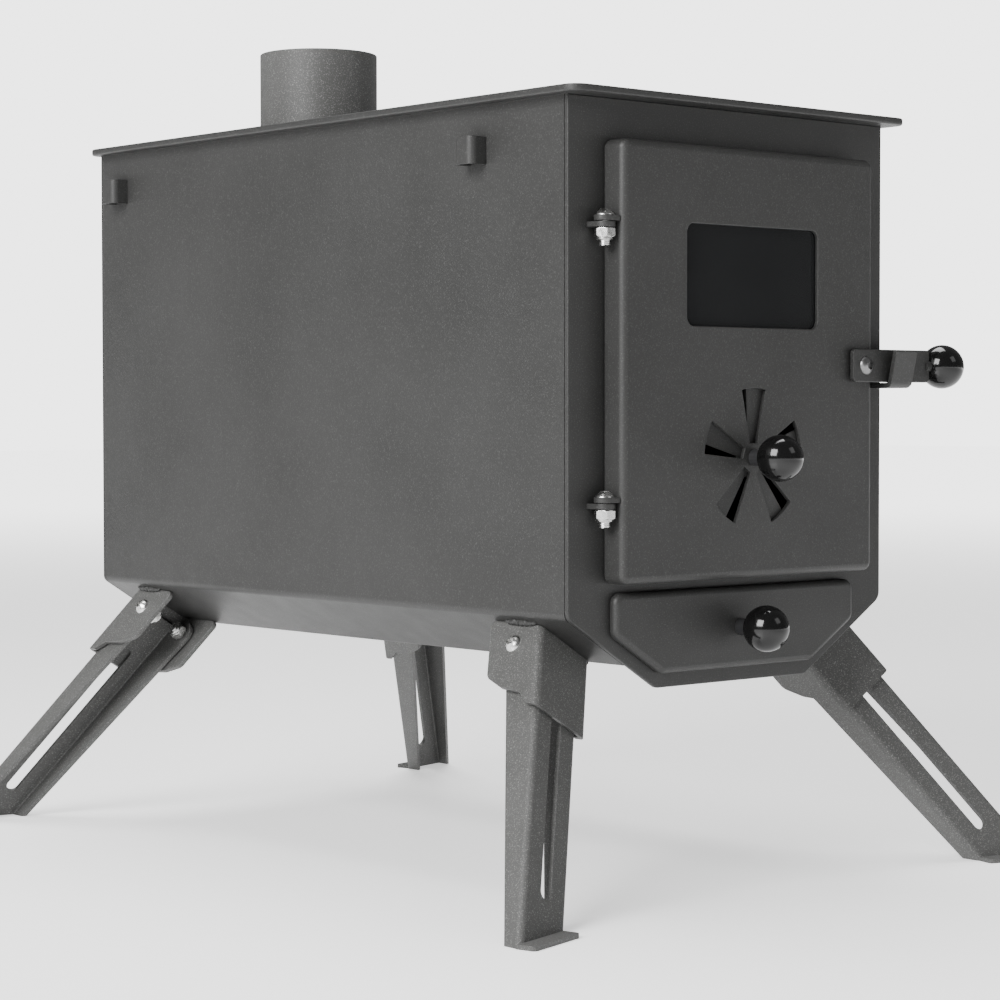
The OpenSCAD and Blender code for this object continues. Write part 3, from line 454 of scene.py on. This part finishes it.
# %% [markdown]
# The firebox is one folded sheet, open at the top, with flat plates at the front and the rear.
# Its section is an open line with eased folds, and the sheet is that line given a thickness.
# A Bevel modifier would round every edge alike, so the arcs of the folds are worked out. The
# front plate reaches a little lower than the sheet behind it.
# %% Firebox and its plates
shell_low, shell_high = corners_of("body_shell")
front_low, front_high = corners_of("front_plate")
BEVEL_W, BEVEL_H = 64 * MM, 40 * MM
SHEET, FOLD = 2.5 * MM, 5 * MM
bevel_z = front_low[2] + BEVEL_H
floor_x = shell_high[0] - BEVEL_W * (bevel_z - shell_low[2]) / BEVEL_H
section = np.array([(shell_low[0], shell_high[2]), (shell_low[0], bevel_z), (-floor_x, shell_low[2]),
                    (floor_x, shell_low[2]), (shell_high[0], bevel_z), (shell_high[0], shell_high[2])])
outer = eased(section, FOLD, square=(0, 5))
# A point above either end keeps the sheet's thickness level there
longer = np.concatenate([outer[:1] + (0, 1), outer, outer[-1:] + (0, 1)])
inner = moved_in(longer, SHEET)[1:-1]
inner[[0, -1], 1] = shell_high[2]
shell = panel("firebox_sheet", [np.concatenate([outer, inner[::-1]])],
              [[(0, shell_low[1]), (0, shell_high[1])]])
stands_for(shell, "body_shell")


# How far the end plates stop short of the top plate, so that no two faces share a plane
HAIR = 0.01 * MM
SQUARE_TOP = (4, 5)


def end_outline(low_z, low_half):
    """The outline of an end plate: flat bottom, slanted lower corners, square top."""
    return [(-front_high[0], bevel_z), (-low_half, low_z), (low_half, low_z),
            (front_high[0], bevel_z), (front_high[0], front_high[2] - HAIR),
            (-front_high[0], front_high[2] - HAIR)]


door_low, door_high = corners_of("door_panel")
tray_low, tray_high = corners_of("ash_tray")
DOOR_LAP, TRAY_GAP, PLATE_EDGE = 14 * MM, 0.6 * MM, 0.7 * MM
front_loop = eased(end_outline(front_low[2], front_high[0] - BEVEL_W), 7 * MM, square=SQUARE_TOP)
door_way = rounded_rect(door_low[[0, 2]] + DOOR_LAP, door_high[[0, 2]] - DOOR_LAP, 5 * MM)
tray_way = rounded_rect(tray_low[[0, 2]] - TRAY_GAP, tray_high[[0, 2]] + TRAY_GAP, 1.5 * MM)
edge = soft_edge(front_low[1], front_high[1], PLATE_EDGE)
front = panel("front_plate_pressed", [front_loop, door_way, tray_way], [edge] * 3)
stands_for(front, "front_plate")
rear_low, rear_high = corners_of("rear_plate")
rear_loop = eased(end_outline(rear_low[2], floor_x), FOLD, square=SQUARE_TOP)
rear = panel("rear_plate_pressed", [rear_loop], [soft_edge(rear_low[1], rear_high[1], PLATE_EDGE)])
stands_for(rear, "rear_plate")
print("firebox points:", len(shell.data.vertices), "front plate:", len(front.data.vertices))

# %% [markdown]
# The top is one thick plate with rounded corners, and its edge is the brightest line in the
# photograph, so its rounding has real size. The flue collar is a rolled tube welded on it.
# Both are level outlines with a round opening, and the tube is the same helper with a tall wall.
# %% Top plate and flue collar
top_low, top_high = corners_of("top_plate")
flue_low, flue_high = corners_of("flue_collar")
flue_middle = (flue_low[:2] + flue_high[:2]) / 2
flue_r = (flue_high[0] - flue_low[0]) / 2
FLUE_WALL, FLUE_LEDGE = 2 * MM, 2 * MM
TOP_CORNER, TOP_EDGE = 9 * MM, 1.1 * MM
around = np.arange(0, 360, 3.75)
top = panel("top_plate_pressed",
            [rounded_rect(top_low[:2], top_high[:2], TOP_CORNER, 10),
             arc(around, flue_r - FLUE_WALL - FLUE_LEDGE, flue_middle)],
            [soft_edge(top_high[2], top_low[2], TOP_EDGE, 5),
             soft_edge(top_high[2], top_low[2], 0.5 * MM)], level=True)
stands_for(top, "top_plate")
collar = panel("flue_collar_rolled",
               [arc(around, flue_r, flue_middle), arc(around, flue_r - FLUE_WALL, flue_middle)],
               [soft_edge(flue_high[2], flue_low[2], 0.7 * MM)] * 2, level=True)
stands_for(collar, "flue_collar")
print("flue collar:", round(2 * flue_r / MM, 1), "mm across")

# %% [markdown]
# The door and the drawer front are shallow pans: a face whose rim is folded back on a wide
# radius. That soft fold is what the light shows along their edges. The door has the window
# and a star of five air slots, each a wedge cut off by a circle. Where the slanted side of a
# wedge meets the circle is a quadratic: |a + t (b - a)| = outer radius.
# %% Door and drawer front
def wedge_loop(inner, outer, narrow, wide, turn, middle):
    """A wedge along +Z from the middle, its outer end an arc, turned by so many degrees."""
    a, b = np.array([narrow / 2, inner]), np.array([wide / 2, outer])
    d = b - a
    t = (-a @ d + math.sqrt((a @ d) ** 2 - (d @ d) * (a @ a - outer ** 2))) / (d @ d)
    tip = a + t * d
    swing = math.degrees(math.atan2(tip[1], tip[0]))
    loop = np.concatenate([[(-a[0], a[1])], [a], arc(np.linspace(swing, 180 - swing, 9), outer, (0, 0))])
    c, s = math.cos(math.radians(turn)), math.sin(math.radians(turn))
    return loop @ np.array([[c, s], [-s, c]]) + middle


DOOR_T, DOOR_FOLD, DRAWER_FOLD, PAN_CORNER = 2.5 * MM, 4.2 * MM, 3.4 * MM, 5 * MM
FRAME_LAP, GLASS_LAP, STEM_HOLE_R = 4 * MM, 8 * MM, 3.05 * MM
SLOTS, SLOT_INNER, SLOT_OUTER, SLOT_NARROW, SLOT_WIDE = 5, 8 * MM, 38 * MM, 6 * MM, 19 * MM
glass_low, glass_high = corners_of("window_glass")
frame_low, frame_high = corners_of("window_frame")
window_half = (frame_high[0] - frame_low[0]) / 2 - FRAME_LAP
window_middle = (glass_low[2] + glass_high[2]) / 2
window_up = (glass_high[2] - glass_low[2]) / 2 - GLASS_LAP
window = rounded_rect((-window_half, window_middle - window_up),
                      (window_half, window_middle + window_up), PAN_CORNER)
stem_low, stem_high = corners_of("spinner_stem")
spin_middle = np.array([0, (stem_low[2] + stem_high[2]) / 2])
slots = [wedge_loop(SLOT_INNER, SLOT_OUTER, SLOT_NARROW, SLOT_WIDE, k * 360 / SLOTS, spin_middle)
         for k in range(SLOTS)]
door_outline = rounded_rect(door_low[[0, 2]], door_high[[0, 2]], PAN_CORNER)
stem_hole = arc(np.arange(0, 360, 15), STEM_HOLE_R, spin_middle)
door_back = door_low[1] + DOOR_T
through = soft_edge(door_low[1], door_back, 0.35 * MM, 3)
door = panel("door_pan", [door_outline, window, stem_hole] + slots,
             [pan_edge(door_low[1], door_high[1], DOOR_T, DOOR_FOLD),
              soft_edge(door_low[1], door_back, 0.6 * MM), through] + [through] * SLOTS)
stands_for(door, "door_panel")
drawer_low, drawer_high = corners_of("drawer_front")
drawer_low_half = front_high[0] - BEVEL_W
drawer_bevel = drawer_low[2] + (drawer_high[0] - drawer_low_half) * BEVEL_H / BEVEL_W
drawer_loop = eased([(drawer_low[0], drawer_bevel), (-drawer_low_half, drawer_low[2]),
                     (drawer_low_half, drawer_low[2]), (drawer_high[0], drawer_bevel),
                     (drawer_high[0], drawer_high[2]), (drawer_low[0], drawer_high[2])], 6 * MM)
drawer = panel("drawer_pan", [drawer_loop], [pan_edge(drawer_low[1], drawer_high[1], DOOR_T, DRAWER_FOLD)])
stands_for(drawer, "drawer_front")
print("door pan points:", len(door.data.vertices), "drawer pan points:", len(drawer.data.vertices))

# %% [markdown]
# The window glass is a small thick plate with ground edges. The lever of the latch is a flat
# strap with eased corners; a round tang at its end carries the knob.
# %% Glass and latch strap
glass = panel("window_pane", [rounded_rect(glass_low[[0, 2]], glass_high[[0, 2]], 5 * MM)],
              [soft_edge(glass_low[1], glass_high[1], 0.5 * MM)])
stands_for(glass, "window_glass")
lever_low, lever_high = corners_of("latch_lever")
LEVER_T, BALL_R, BALL_GAP = 3 * MM, 12.7 * MM, 0.3 * MM
lever_middle = (lever_low[1] + lever_high[1]) / 2
knob_low, knob_high = corners_of("latch_knob")
strap_end = knob_high[0] - 2 * BALL_R - BALL_GAP
strap = panel("latch_strap", [rounded_rect(lever_low[[0, 2]], (strap_end, lever_high[2]), 2.6 * MM)],
              [soft_edge(lever_middle - LEVER_T / 2, lever_middle + LEVER_T / 2, 0.55 * MM)])
print("latch strap:", round((strap_end - lever_low[0]) / MM, 1), "mm long")

# %% [markdown]
# Knobs, stems, screws and nuts are turned pieces. A profile of radius and height goes round an
# axis on a grid of angles, and the radius may change with the angle as well: a hexagon's is
# half its width over the cosine of the angle from the nearest flat's middle.
# %% Turned pieces
def lathe(radii, heights, foot, along):
    """Points foot + r (cos t, sin t) + h along, where radii is one row of angles per height."""
    along = np.asarray(along, float) / np.linalg.norm(along)
    side = np.cross(along, (0.0, 0.0, 1.0) if abs(along[2]) < 0.9 else (1.0, 0.0, 0.0))
    side /= np.linalg.norm(side)
    other = np.cross(along, side)
    turn = np.linspace(0, 2 * math.pi, radii.shape[1], endpoint=False)
    points = (np.asarray(foot) + radii[:, :, None] * (np.cos(turn)[None, :, None] * side
              + np.sin(turn)[None, :, None] * other) + np.asarray(heights)[:, None, None] * along)
    index = np.arange(radii.size).reshape(radii.shape)
    near, far = index[:-1], index[1:]
    quads = np.stack([near, np.roll(near, -1, 1), np.roll(far, -1, 1), far], -1).reshape(-1, 4)
    return points.reshape(-1, 3), quads


def joined(name, parts, sharp_from=38.0):
    """One object from several grids of points and quads."""
    starts = np.cumsum([0] + [len(p) for p, _ in parts[:-1]])
    points = np.concatenate([p for p, _ in parts])
    quads = np.concatenate([q + s for (_, q), s in zip(parts, starts)])
    return mesh_object(name, points, quads.tolist(), sharp_from)


def round_rows(radii, around_it=48):
    """The same radius at every angle, one row for each value."""
    return np.repeat(np.asarray(radii, float)[:, None], around_it, 1)


def hexagon_radius(across, around_it=48):
    """Half the width across the flats over cos(angle from the middle of the nearest flat)."""
    turn = np.degrees(np.linspace(0, 2 * math.pi, around_it, endpoint=False))
    return across / 2 / np.cos(np.radians((turn + 30) % 60 - 30))


print("a hexagon 10 wide is", round(float(hexagon_radius(10).max()) * 2, 2), "across its corners")

# %% [markdown]
# The screws are button heads with a hexagon socket on a threaded shank. A nut is a hexagon cut
# by two cones, which gives the curved chamfers of a real one. Two more helpers read a node's
# points, so that a turned piece sits just where its node has it.
# %% A screw and a nut
HEAD_D, HEAD_H, SHANK, SOCKET_AF = 10.5 * MM, 3.3 * MM, 6 * MM, 4 * MM
THREAD_DEPTH, THREAD_STEP = 0.16 * MM, 0.25 * MM
NUT_AF, NUT_H, NUT_TOP = 10 * MM, 5 * MM, 1.3 * MM


def screw_grid(seat, along, length):
    """A dome head on the seat with a hexagon socket, and a threaded shank of that length.
    The thread is a ripple of the shank's radius, one for each millimetre."""
    dome = (HEAD_D ** 2 / 4 + HEAD_H ** 2) / (2 * HEAD_H)
    up = np.linspace(0.06, 1, 9) * HEAD_H
    outline = np.sqrt(np.maximum(dome ** 2 - (up - HEAD_H + dome) ** 2, 0))
    keep = outline > SOCKET_AF * 0.6
    ridges = np.arange(-length, -0.2 * MM, THREAD_STEP)
    thread = SHANK / 2 - THREAD_DEPTH * (1 - np.cos(2 * math.pi * ridges / MM)) / 2
    heights = np.concatenate([[-length, -length], ridges[1:], [0, 0], up[keep],
                              [HEAD_H * 0.98, HEAD_H * 0.45, HEAD_H * 0.4]])
    socket = hexagon_radius(SOCKET_AF)
    rows = [round_rows(np.concatenate([[0, SHANK * 0.42], thread[1:], [SHANK / 2, HEAD_D * 0.49],
                                       outline[keep]])), socket[None] * 1.04, socket[None], socket[None] * 0]
    return lathe(np.concatenate(rows), heights, seat, along)


def nut_grid(seat, along):
    """A hexagon cut by a cone at each end, with the round collar of a lock nut on top."""
    bite = np.array([0, 0.12, 0.24, 0.36, 0.5]) * MM
    heights = np.concatenate([[0], bite, NUT_H - bite[::-1]])
    cone = NUT_AF / 2 * 0.97 + math.sqrt(3) * np.minimum(heights, NUT_H - heights)[:, None]
    cone[0] = 0
    body = np.minimum(hexagon_radius(NUT_AF)[None], cone)
    collar = round_rows([NUT_AF * 0.45, NUT_AF * 0.45, NUT_AF * 0.42, SHANK / 2 + 0.1 * MM,
                         SHANK / 2 + 0.1 * MM])
    tops = NUT_H + NUT_TOP * np.array([0.05, 0.75, 1.0, 1.0, 0.1])
    return lathe(np.concatenate([body, collar]), np.concatenate([heights, tops]), seat, along)


def points_of(name):
    """The node's points as an N x 3 array."""
    mesh = nodes[name].data
    flat = np.empty(len(mesh.vertices) * 3, np.float32)
    mesh.vertices.foreach_get("co", flat)
    return flat.reshape(-1, 3).astype(float)


def reach(name, at, along, within):
    """How far the node's points reach along the line, of those within a distance of it."""
    offset = points_of(name) - at
    height = offset @ along
    near = np.linalg.norm(offset - height[:, None] * along, axis=1) < within
    return height[near].max()


print("a screw has", len(screw_grid((0, 0, 0), (0, 0, 1), 10 * MM)[0]), "points")

# %% [markdown]
# Each leg turns on two screws, one through either side of its bracket, and the frame's joints
# say where and along which line. The screws' outer ends are read from the nodes, so the heads
# sit just where the frame has them. The door's hinge screws stand upright at two heights.
# %% Screws and nuts of the legs and hinges
LEG_SCREW_LENGTH, LEG_NUT_BACK, HINGE_SCREW_LENGTH = 14.5 * MM, 7 * MM, 16 * MM
NEAR_THE_LINE = 12 * MM
leg_lines = [(np.array(j["pos_m"]), np.array(j["axis"], float) / np.linalg.norm(j["axis"]))
             for j in frame["joints"] if j["name"].endswith("leg_fold")]
screws, nuts = [], []
for pivot, line in leg_lines:
    for outward in (-line, line):
        seat = pivot + outward * (reach("leg_screws", pivot, outward, NEAR_THE_LINE) - HEAD_H)
        screws.append(screw_grid(seat, outward, LEG_SCREW_LENGTH))
        nuts.append(nut_grid(seat - outward * LEG_NUT_BACK, -outward))
stands_for(joined("leg_screws_turned", screws), "leg_screws")
stands_for(joined("leg_nuts_turned", nuts), "leg_nuts")

hinge = next(j for j in frame["joints"] if j["name"] == "door_swing")
hinge_xy = np.array(hinge["pos_m"][:2])
screw_z = points_of("hinge_screws")[:, 2]
screw_tops = [screw_z[screw_z < screw_z.mean()].max(), screw_z.max()]
hinge_screws = [screw_grid((*hinge_xy, z - HEAD_H), (0, 0, 1), HINGE_SCREW_LENGTH) for z in screw_tops]
nut_gap = points_of("hinge_nuts")[:, 2].max() - screw_tops[1]
hinge_nuts = [nut_grid((*hinge_xy, z + nut_gap), (0, 0, -1)) for z in screw_tops]
stands_for(joined("hinge_screws_turned", hinge_screws), "hinge_screws")
stands_for(joined("hinge_nuts_turned", hinge_nuts), "hinge_nuts")
print("turned", len(screws) + len(hinge_screws), "screws and", len(nuts) + len(hinge_nuts), "nuts")

# %% [markdown]
# The three ball knobs are the same moulding: a ball with a shallow seam round its middle left
# by the mould, and a flat where it meets its neck. The neck flares towards the ball. Two of
# them stand on the door and the drawer front, each on a stem that runs through the sheet.
# %% Knobs and stems
NECK_R = 5.5 * MM


def ball_grid(middle, along, flat):
    """Radius R sin(a), height -R cos(a), from the flat's edge to the far pole."""
    from_angle = math.asin(flat / BALL_R)
    a = np.linspace(from_angle, math.pi, 40)
    seam = 1 - 0.004 * np.exp(-((a - math.pi / 2) / 0.02) ** 2)
    radii = np.concatenate([[0, flat * 0.9], BALL_R * np.sin(a) * seam])
    heights = np.concatenate([[-BALL_R * math.cos(from_angle) + 1 * MM] * 2, -BALL_R * np.cos(a)])
    return lathe(round_rows(np.maximum(radii, 0), 64), heights, middle, along)


def stem_grid(ball_middle, face, inner, x, z):
    """A neck that flares towards the ball, then a plain stud to the inside."""
    start = ball_middle + BALL_R * 0.8
    neck = face - 0.3 * MM
    steps = np.linspace(0, 1, 8)
    radii = np.concatenate([[0, NECK_R * 0.97], NECK_R * (1 - 0.16 * np.sin(steps * math.pi / 2)),
                            [NECK_R * 0.8, SHANK / 2, SHANK / 2, 0]])
    heights = np.concatenate([[start, start], start + (neck - start) * steps,
                              [neck, neck, inner, inner]])
    return lathe(round_rows(radii, 40), heights, (x, 0, z), (0, 1, 0))


for knob, stem, face in (("spinner_knob", "spinner_stem", door_low[1]),
                         ("drawer_knob", "drawer_stem", drawer_low[1])):
    low, high = corners_of(knob)
    middle = np.array([(low[0] + high[0]) / 2, low[1] + BALL_R, (low[2] + high[2]) / 2])
    ball = joined(knob + "_moulded", [ball_grid(middle, (0, -1, 0), NECK_R * 0.97)])
    stands_for(ball, knob)
    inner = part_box(stem)[1][1]
    stands_for(joined(stem + "_turned", [stem_grid(middle[1], face, inner, middle[0], middle[2])]), stem)

print("knobs are", round(2 * BALL_R / MM, 1), "mm across")

# %% [markdown]
# The third knob sits on a round tang at the end of the lever, and the lever turns on the same
# button screw as the hinges have. Nuts hold the other two knobs from the inside.
# %% Latch knob and screw, and the inner nuts
TANG_R, TANG_IN, TANG_OUT = 3 * MM, 3 * MM, 9 * MM
latch_middle = np.array([knob_high[0] - BALL_R, lever_middle, (knob_low[2] + knob_high[2]) / 2])
latch_ball = joined("latch_knob_moulded", [ball_grid(latch_middle, (1, 0, 0), 3.4 * MM)])
stands_for(latch_ball, "latch_knob")
stands_for(strap, "latch_lever")
tang_foot = (strap_end, lever_middle, latch_middle[2])
tang = joined("latch_tang", [lathe(round_rows([0, TANG_R, TANG_R, 0], 32),
                                   [-TANG_IN, -TANG_IN, TANG_OUT, TANG_OUT], tang_foot, (1, 0, 0))])
tang.data.materials.append(coated_steel)
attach(tang, body_of_node["latch_lever"])
screw_low, screw_high = corners_of("latch_screw")
screw_seat = (screw_low + screw_high) / 2
screw_seat[1] = screw_low[1] + HEAD_H
screw_length = screw_high[1] - screw_seat[1]
latch_screw = joined("latch_screw_turned", [screw_grid(screw_seat, (0, -1, 0), screw_length)])
stands_for(latch_screw, "latch_screw")
for node in ("spinner_nut", "drawer_nut"):
    low, high = corners_of(node)
    nut_seat = ((low[0] + high[0]) / 2, low[1], (low[2] + high[2]) / 2)
    stands_for(joined(node + "_turned", [nut_grid(nut_seat, (0, 1, 0))]), node)
print("the latch's knob is at", latch_middle.round(3).tolist())

# %% [markdown]
# Brackets, legs, loops, the hook and the hinge tabs are folded or cut sheet whose shape the
# frame already holds. They only lack the soft edge that paint gives steel, so a copy of each
# node's mesh is merged at its doubled points, its flat faces are joined, and a small Bevel
# modifier rounds it.
# %% Soft edges for cut sheet
def softened(name, width):
    """A copy of a node with its loose triangles merged and its edges rounded by a bevel."""
    mesh = nodes[name].data.copy()
    mesh.name = name + "_soft"
    work = bmesh.new()
    work.from_mesh(mesh)
    bmesh.ops.remove_doubles(work, verts=work.verts, dist=0.01 * MM)
    bmesh.ops.dissolve_limit(work, angle_limit=math.radians(0.6), verts=work.verts, edges=work.edges)
    work.to_mesh(mesh)
    work.free()
    mesh.polygons.foreach_set("use_smooth", np.ones(len(mesh.polygons), bool))
    mesh.set_sharp_from_angle(angle=math.radians(35))
    piece = bpy.data.objects.new(name + "_soft", mesh)
    bpy.context.scene.collection.objects.link(piece)
    bevel = piece.modifiers.new("painted_edge", "BEVEL")
    bevel.width = width
    bevel.segments = 2
    bevel.limit_method = "ANGLE"
    bevel.angle_limit = math.radians(40)
    bevel.harden_normals = False
    weighted = piece.modifiers.new("flat_faces_lead", "WEIGHTED_NORMAL")
    weighted.keep_sharp = False
    return stands_for(piece, name)


corners = ("front_left", "front_right", "rear_left", "rear_right")
for name in [f"leg_bracket_{c}" for c in corners] + [f"leg_{c}" for c in corners]:
    softened(name, 0.45 * MM)
SMALL_SHEET = ("side_loops_left", "side_loops_right", "latch_hook", "hinge_body_tabs", "hinge_door_tabs")
for name in SMALL_SHEET:
    softened(name, 0.4 * MM)
print("softened", 2 * len(corners) + len(SMALL_SHEET), "nodes")

# %% [markdown]
# Where a bracket meets the slanted sheet, the welder left a short rippled bead on each side.
# A bead is a thin tube that wanders a little, and its radius swells in uneven ripples.
# %% Weld beads
BEAD_STEPS, BEAD_R, BEAD_WANDER, BEAD_INSET = 72, 2.5 * MM, 0.45 * MM, 0.3 * MM
BEAD_LAST, NEAR_THE_BRACKET = BEAD_STEPS - 1, 60 * MM


def tube_along(path, radii_of, up, sides=24, closed=False):
    """Carries a round section along the path: path + r (cos a * side + sin a * up)."""
    step = np.roll(path, -1, 0) - np.roll(path, 1, 0)
    if not closed:
        step[0], step[-1] = path[1] - path[0], path[-1] - path[-2]
    step /= np.linalg.norm(step, axis=1, keepdims=True)
    side = np.cross(step, up)
    side /= np.linalg.norm(side, axis=1, keepdims=True)
    a = np.linspace(0, 2 * math.pi, sides, endpoint=False)
    radii = radii_of(np.arange(len(path))[:, None], a[None])
    points = (path[:, None] + radii[..., None] * (np.cos(a)[None, :, None] * side[:, None]
              + np.sin(a)[None, :, None] * np.asarray(up)[None, None]))
    index = np.arange(len(path) * sides).reshape(len(path), sides)
    near, far = (index, np.roll(index, -1, 0)) if closed else (index[:-1], index[1:])
    quads = np.stack([near, np.roll(near, -1, 1), np.roll(far, -1, 1), far], -1).reshape(-1, 4)
    return points.reshape(-1, 3), quads


def ripple(k, a):
    """The bead's radius at step k and angle a: |sin| ripples of two uneven lengths, times
    (1 - x squared) to the power 0.35, where x runs from -1 to 1 along the bead."""
    ends = np.clip(1 - (2 * k / BEAD_LAST - 1) ** 2, 0, 1) ** 0.35
    swell = 0.74 + 0.2 * np.abs(np.sin(k * 0.37 + 0.7 * np.sin(k * 0.13)))
    return BEAD_R * ends * (swell + 0.06 * np.sin(k * 1.1 + 2 * a))


beads = []
bead_points = points_of("weld_beads")
steps = np.arange(BEAD_STEPS)
for pivot, line in leg_lines:
    offset = bead_points - pivot
    close = np.linalg.norm(offset, axis=1) < NEAR_THE_BRACKET
    down = np.array([line[2], 0, -line[0]]) * np.sign(line[0])
    for way in (-1, 1):
        here = bead_points[close & (offset @ line * way > 0)]
        middle = here.mean(0)
        base = middle + down * ((here @ down).min() - middle @ down)
        run = np.linspace(here[:, 1].min() + BEAD_INSET, here[:, 1].max() - BEAD_INSET, BEAD_STEPS)
        wander = BEAD_WANDER * np.sin(steps * 0.31 + pivot[1] * 90) * np.sin(steps * math.pi / BEAD_LAST)
        path = np.column_stack([base[0] + wander, run, base[2] - 0.5 * wander])
        beads.append(tube_along(path, ripple, down))
stands_for(joined("weld_beads_rippled", beads, sharp_from=60), "weld_beads")
print("weld beads:", len(beads))

# %% [markdown]
# The seal is a rope that lies round the door in a rounded rectangle; its section bulges and
# its strands cross as two families of ridges that run round the tube in opposite directions.
# Its middle line is the outline moved in by half the rope's width. The corners have points
# enough, and the four straight runs get more, so that the ridges show there too.
# %% Rope seal
SEAL_W, SEAL_R, CORNER_STEPS, RUN_STEPS = 8 * MM, 6 * MM, 24, 60
seal_low, seal_high = corners_of("door_seal")
seal_rim = rounded_rect(seal_low[[0, 2]], seal_high[[0, 2]], SEAL_R, CORNER_STEPS)
bends = moved_in(seal_rim, SEAL_W / 2).reshape(4, CORNER_STEPS, 2)
runs = [np.linspace(bend[-1], following[0], RUN_STEPS, endpoint=False)
        for bend, following in zip(bends, np.roll(bends, -1, 0))]
seal_line = np.concatenate([np.concatenate([bend[:-1], run]) for bend, run in zip(bends, runs)])
seal_depth = (seal_high[1] - seal_low[1]) / 2
seal_level = np.full(len(seal_line), (seal_low[1] + seal_high[1]) / 2)
seal_path = np.column_stack([seal_line[:, 0], seal_level, seal_line[:, 1]])


def braid(k, a):
    """1 / (|cos a / half-width| cubed + |sin a / half-depth| cubed) to the third root, times
    0.96 and the crossed ridges |sin (2a + 0.9k)| + |sin (2a - 0.9k)| of step k."""
    oval = 1 / ((np.abs(np.cos(a)) / (SEAL_W / 2)) ** 3 + (np.abs(np.sin(a)) / seal_depth) ** 3) ** (1 / 3)
    ridges = np.abs(np.sin(2 * a + k * 0.9)) + np.abs(np.sin(2 * a - k * 0.9))
    return oval * (0.96 + 0.02 * ridges)


braided = tube_along(seal_path, braid, np.array([0.0, 1.0, 0.0]), sides=32, closed=True)
rope = joined("seal_rope_braided", [braided], sharp_from=80)
stands_for(rope, "door_seal")
print("rope points:", len(rope.data.vertices))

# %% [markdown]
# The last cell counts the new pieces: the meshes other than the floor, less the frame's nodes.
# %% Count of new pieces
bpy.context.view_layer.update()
pieces = [o for o in bpy.data.objects if o.type == "MESH" and o != floor]
print("pieces made:", len(pieces) - len(nodes))
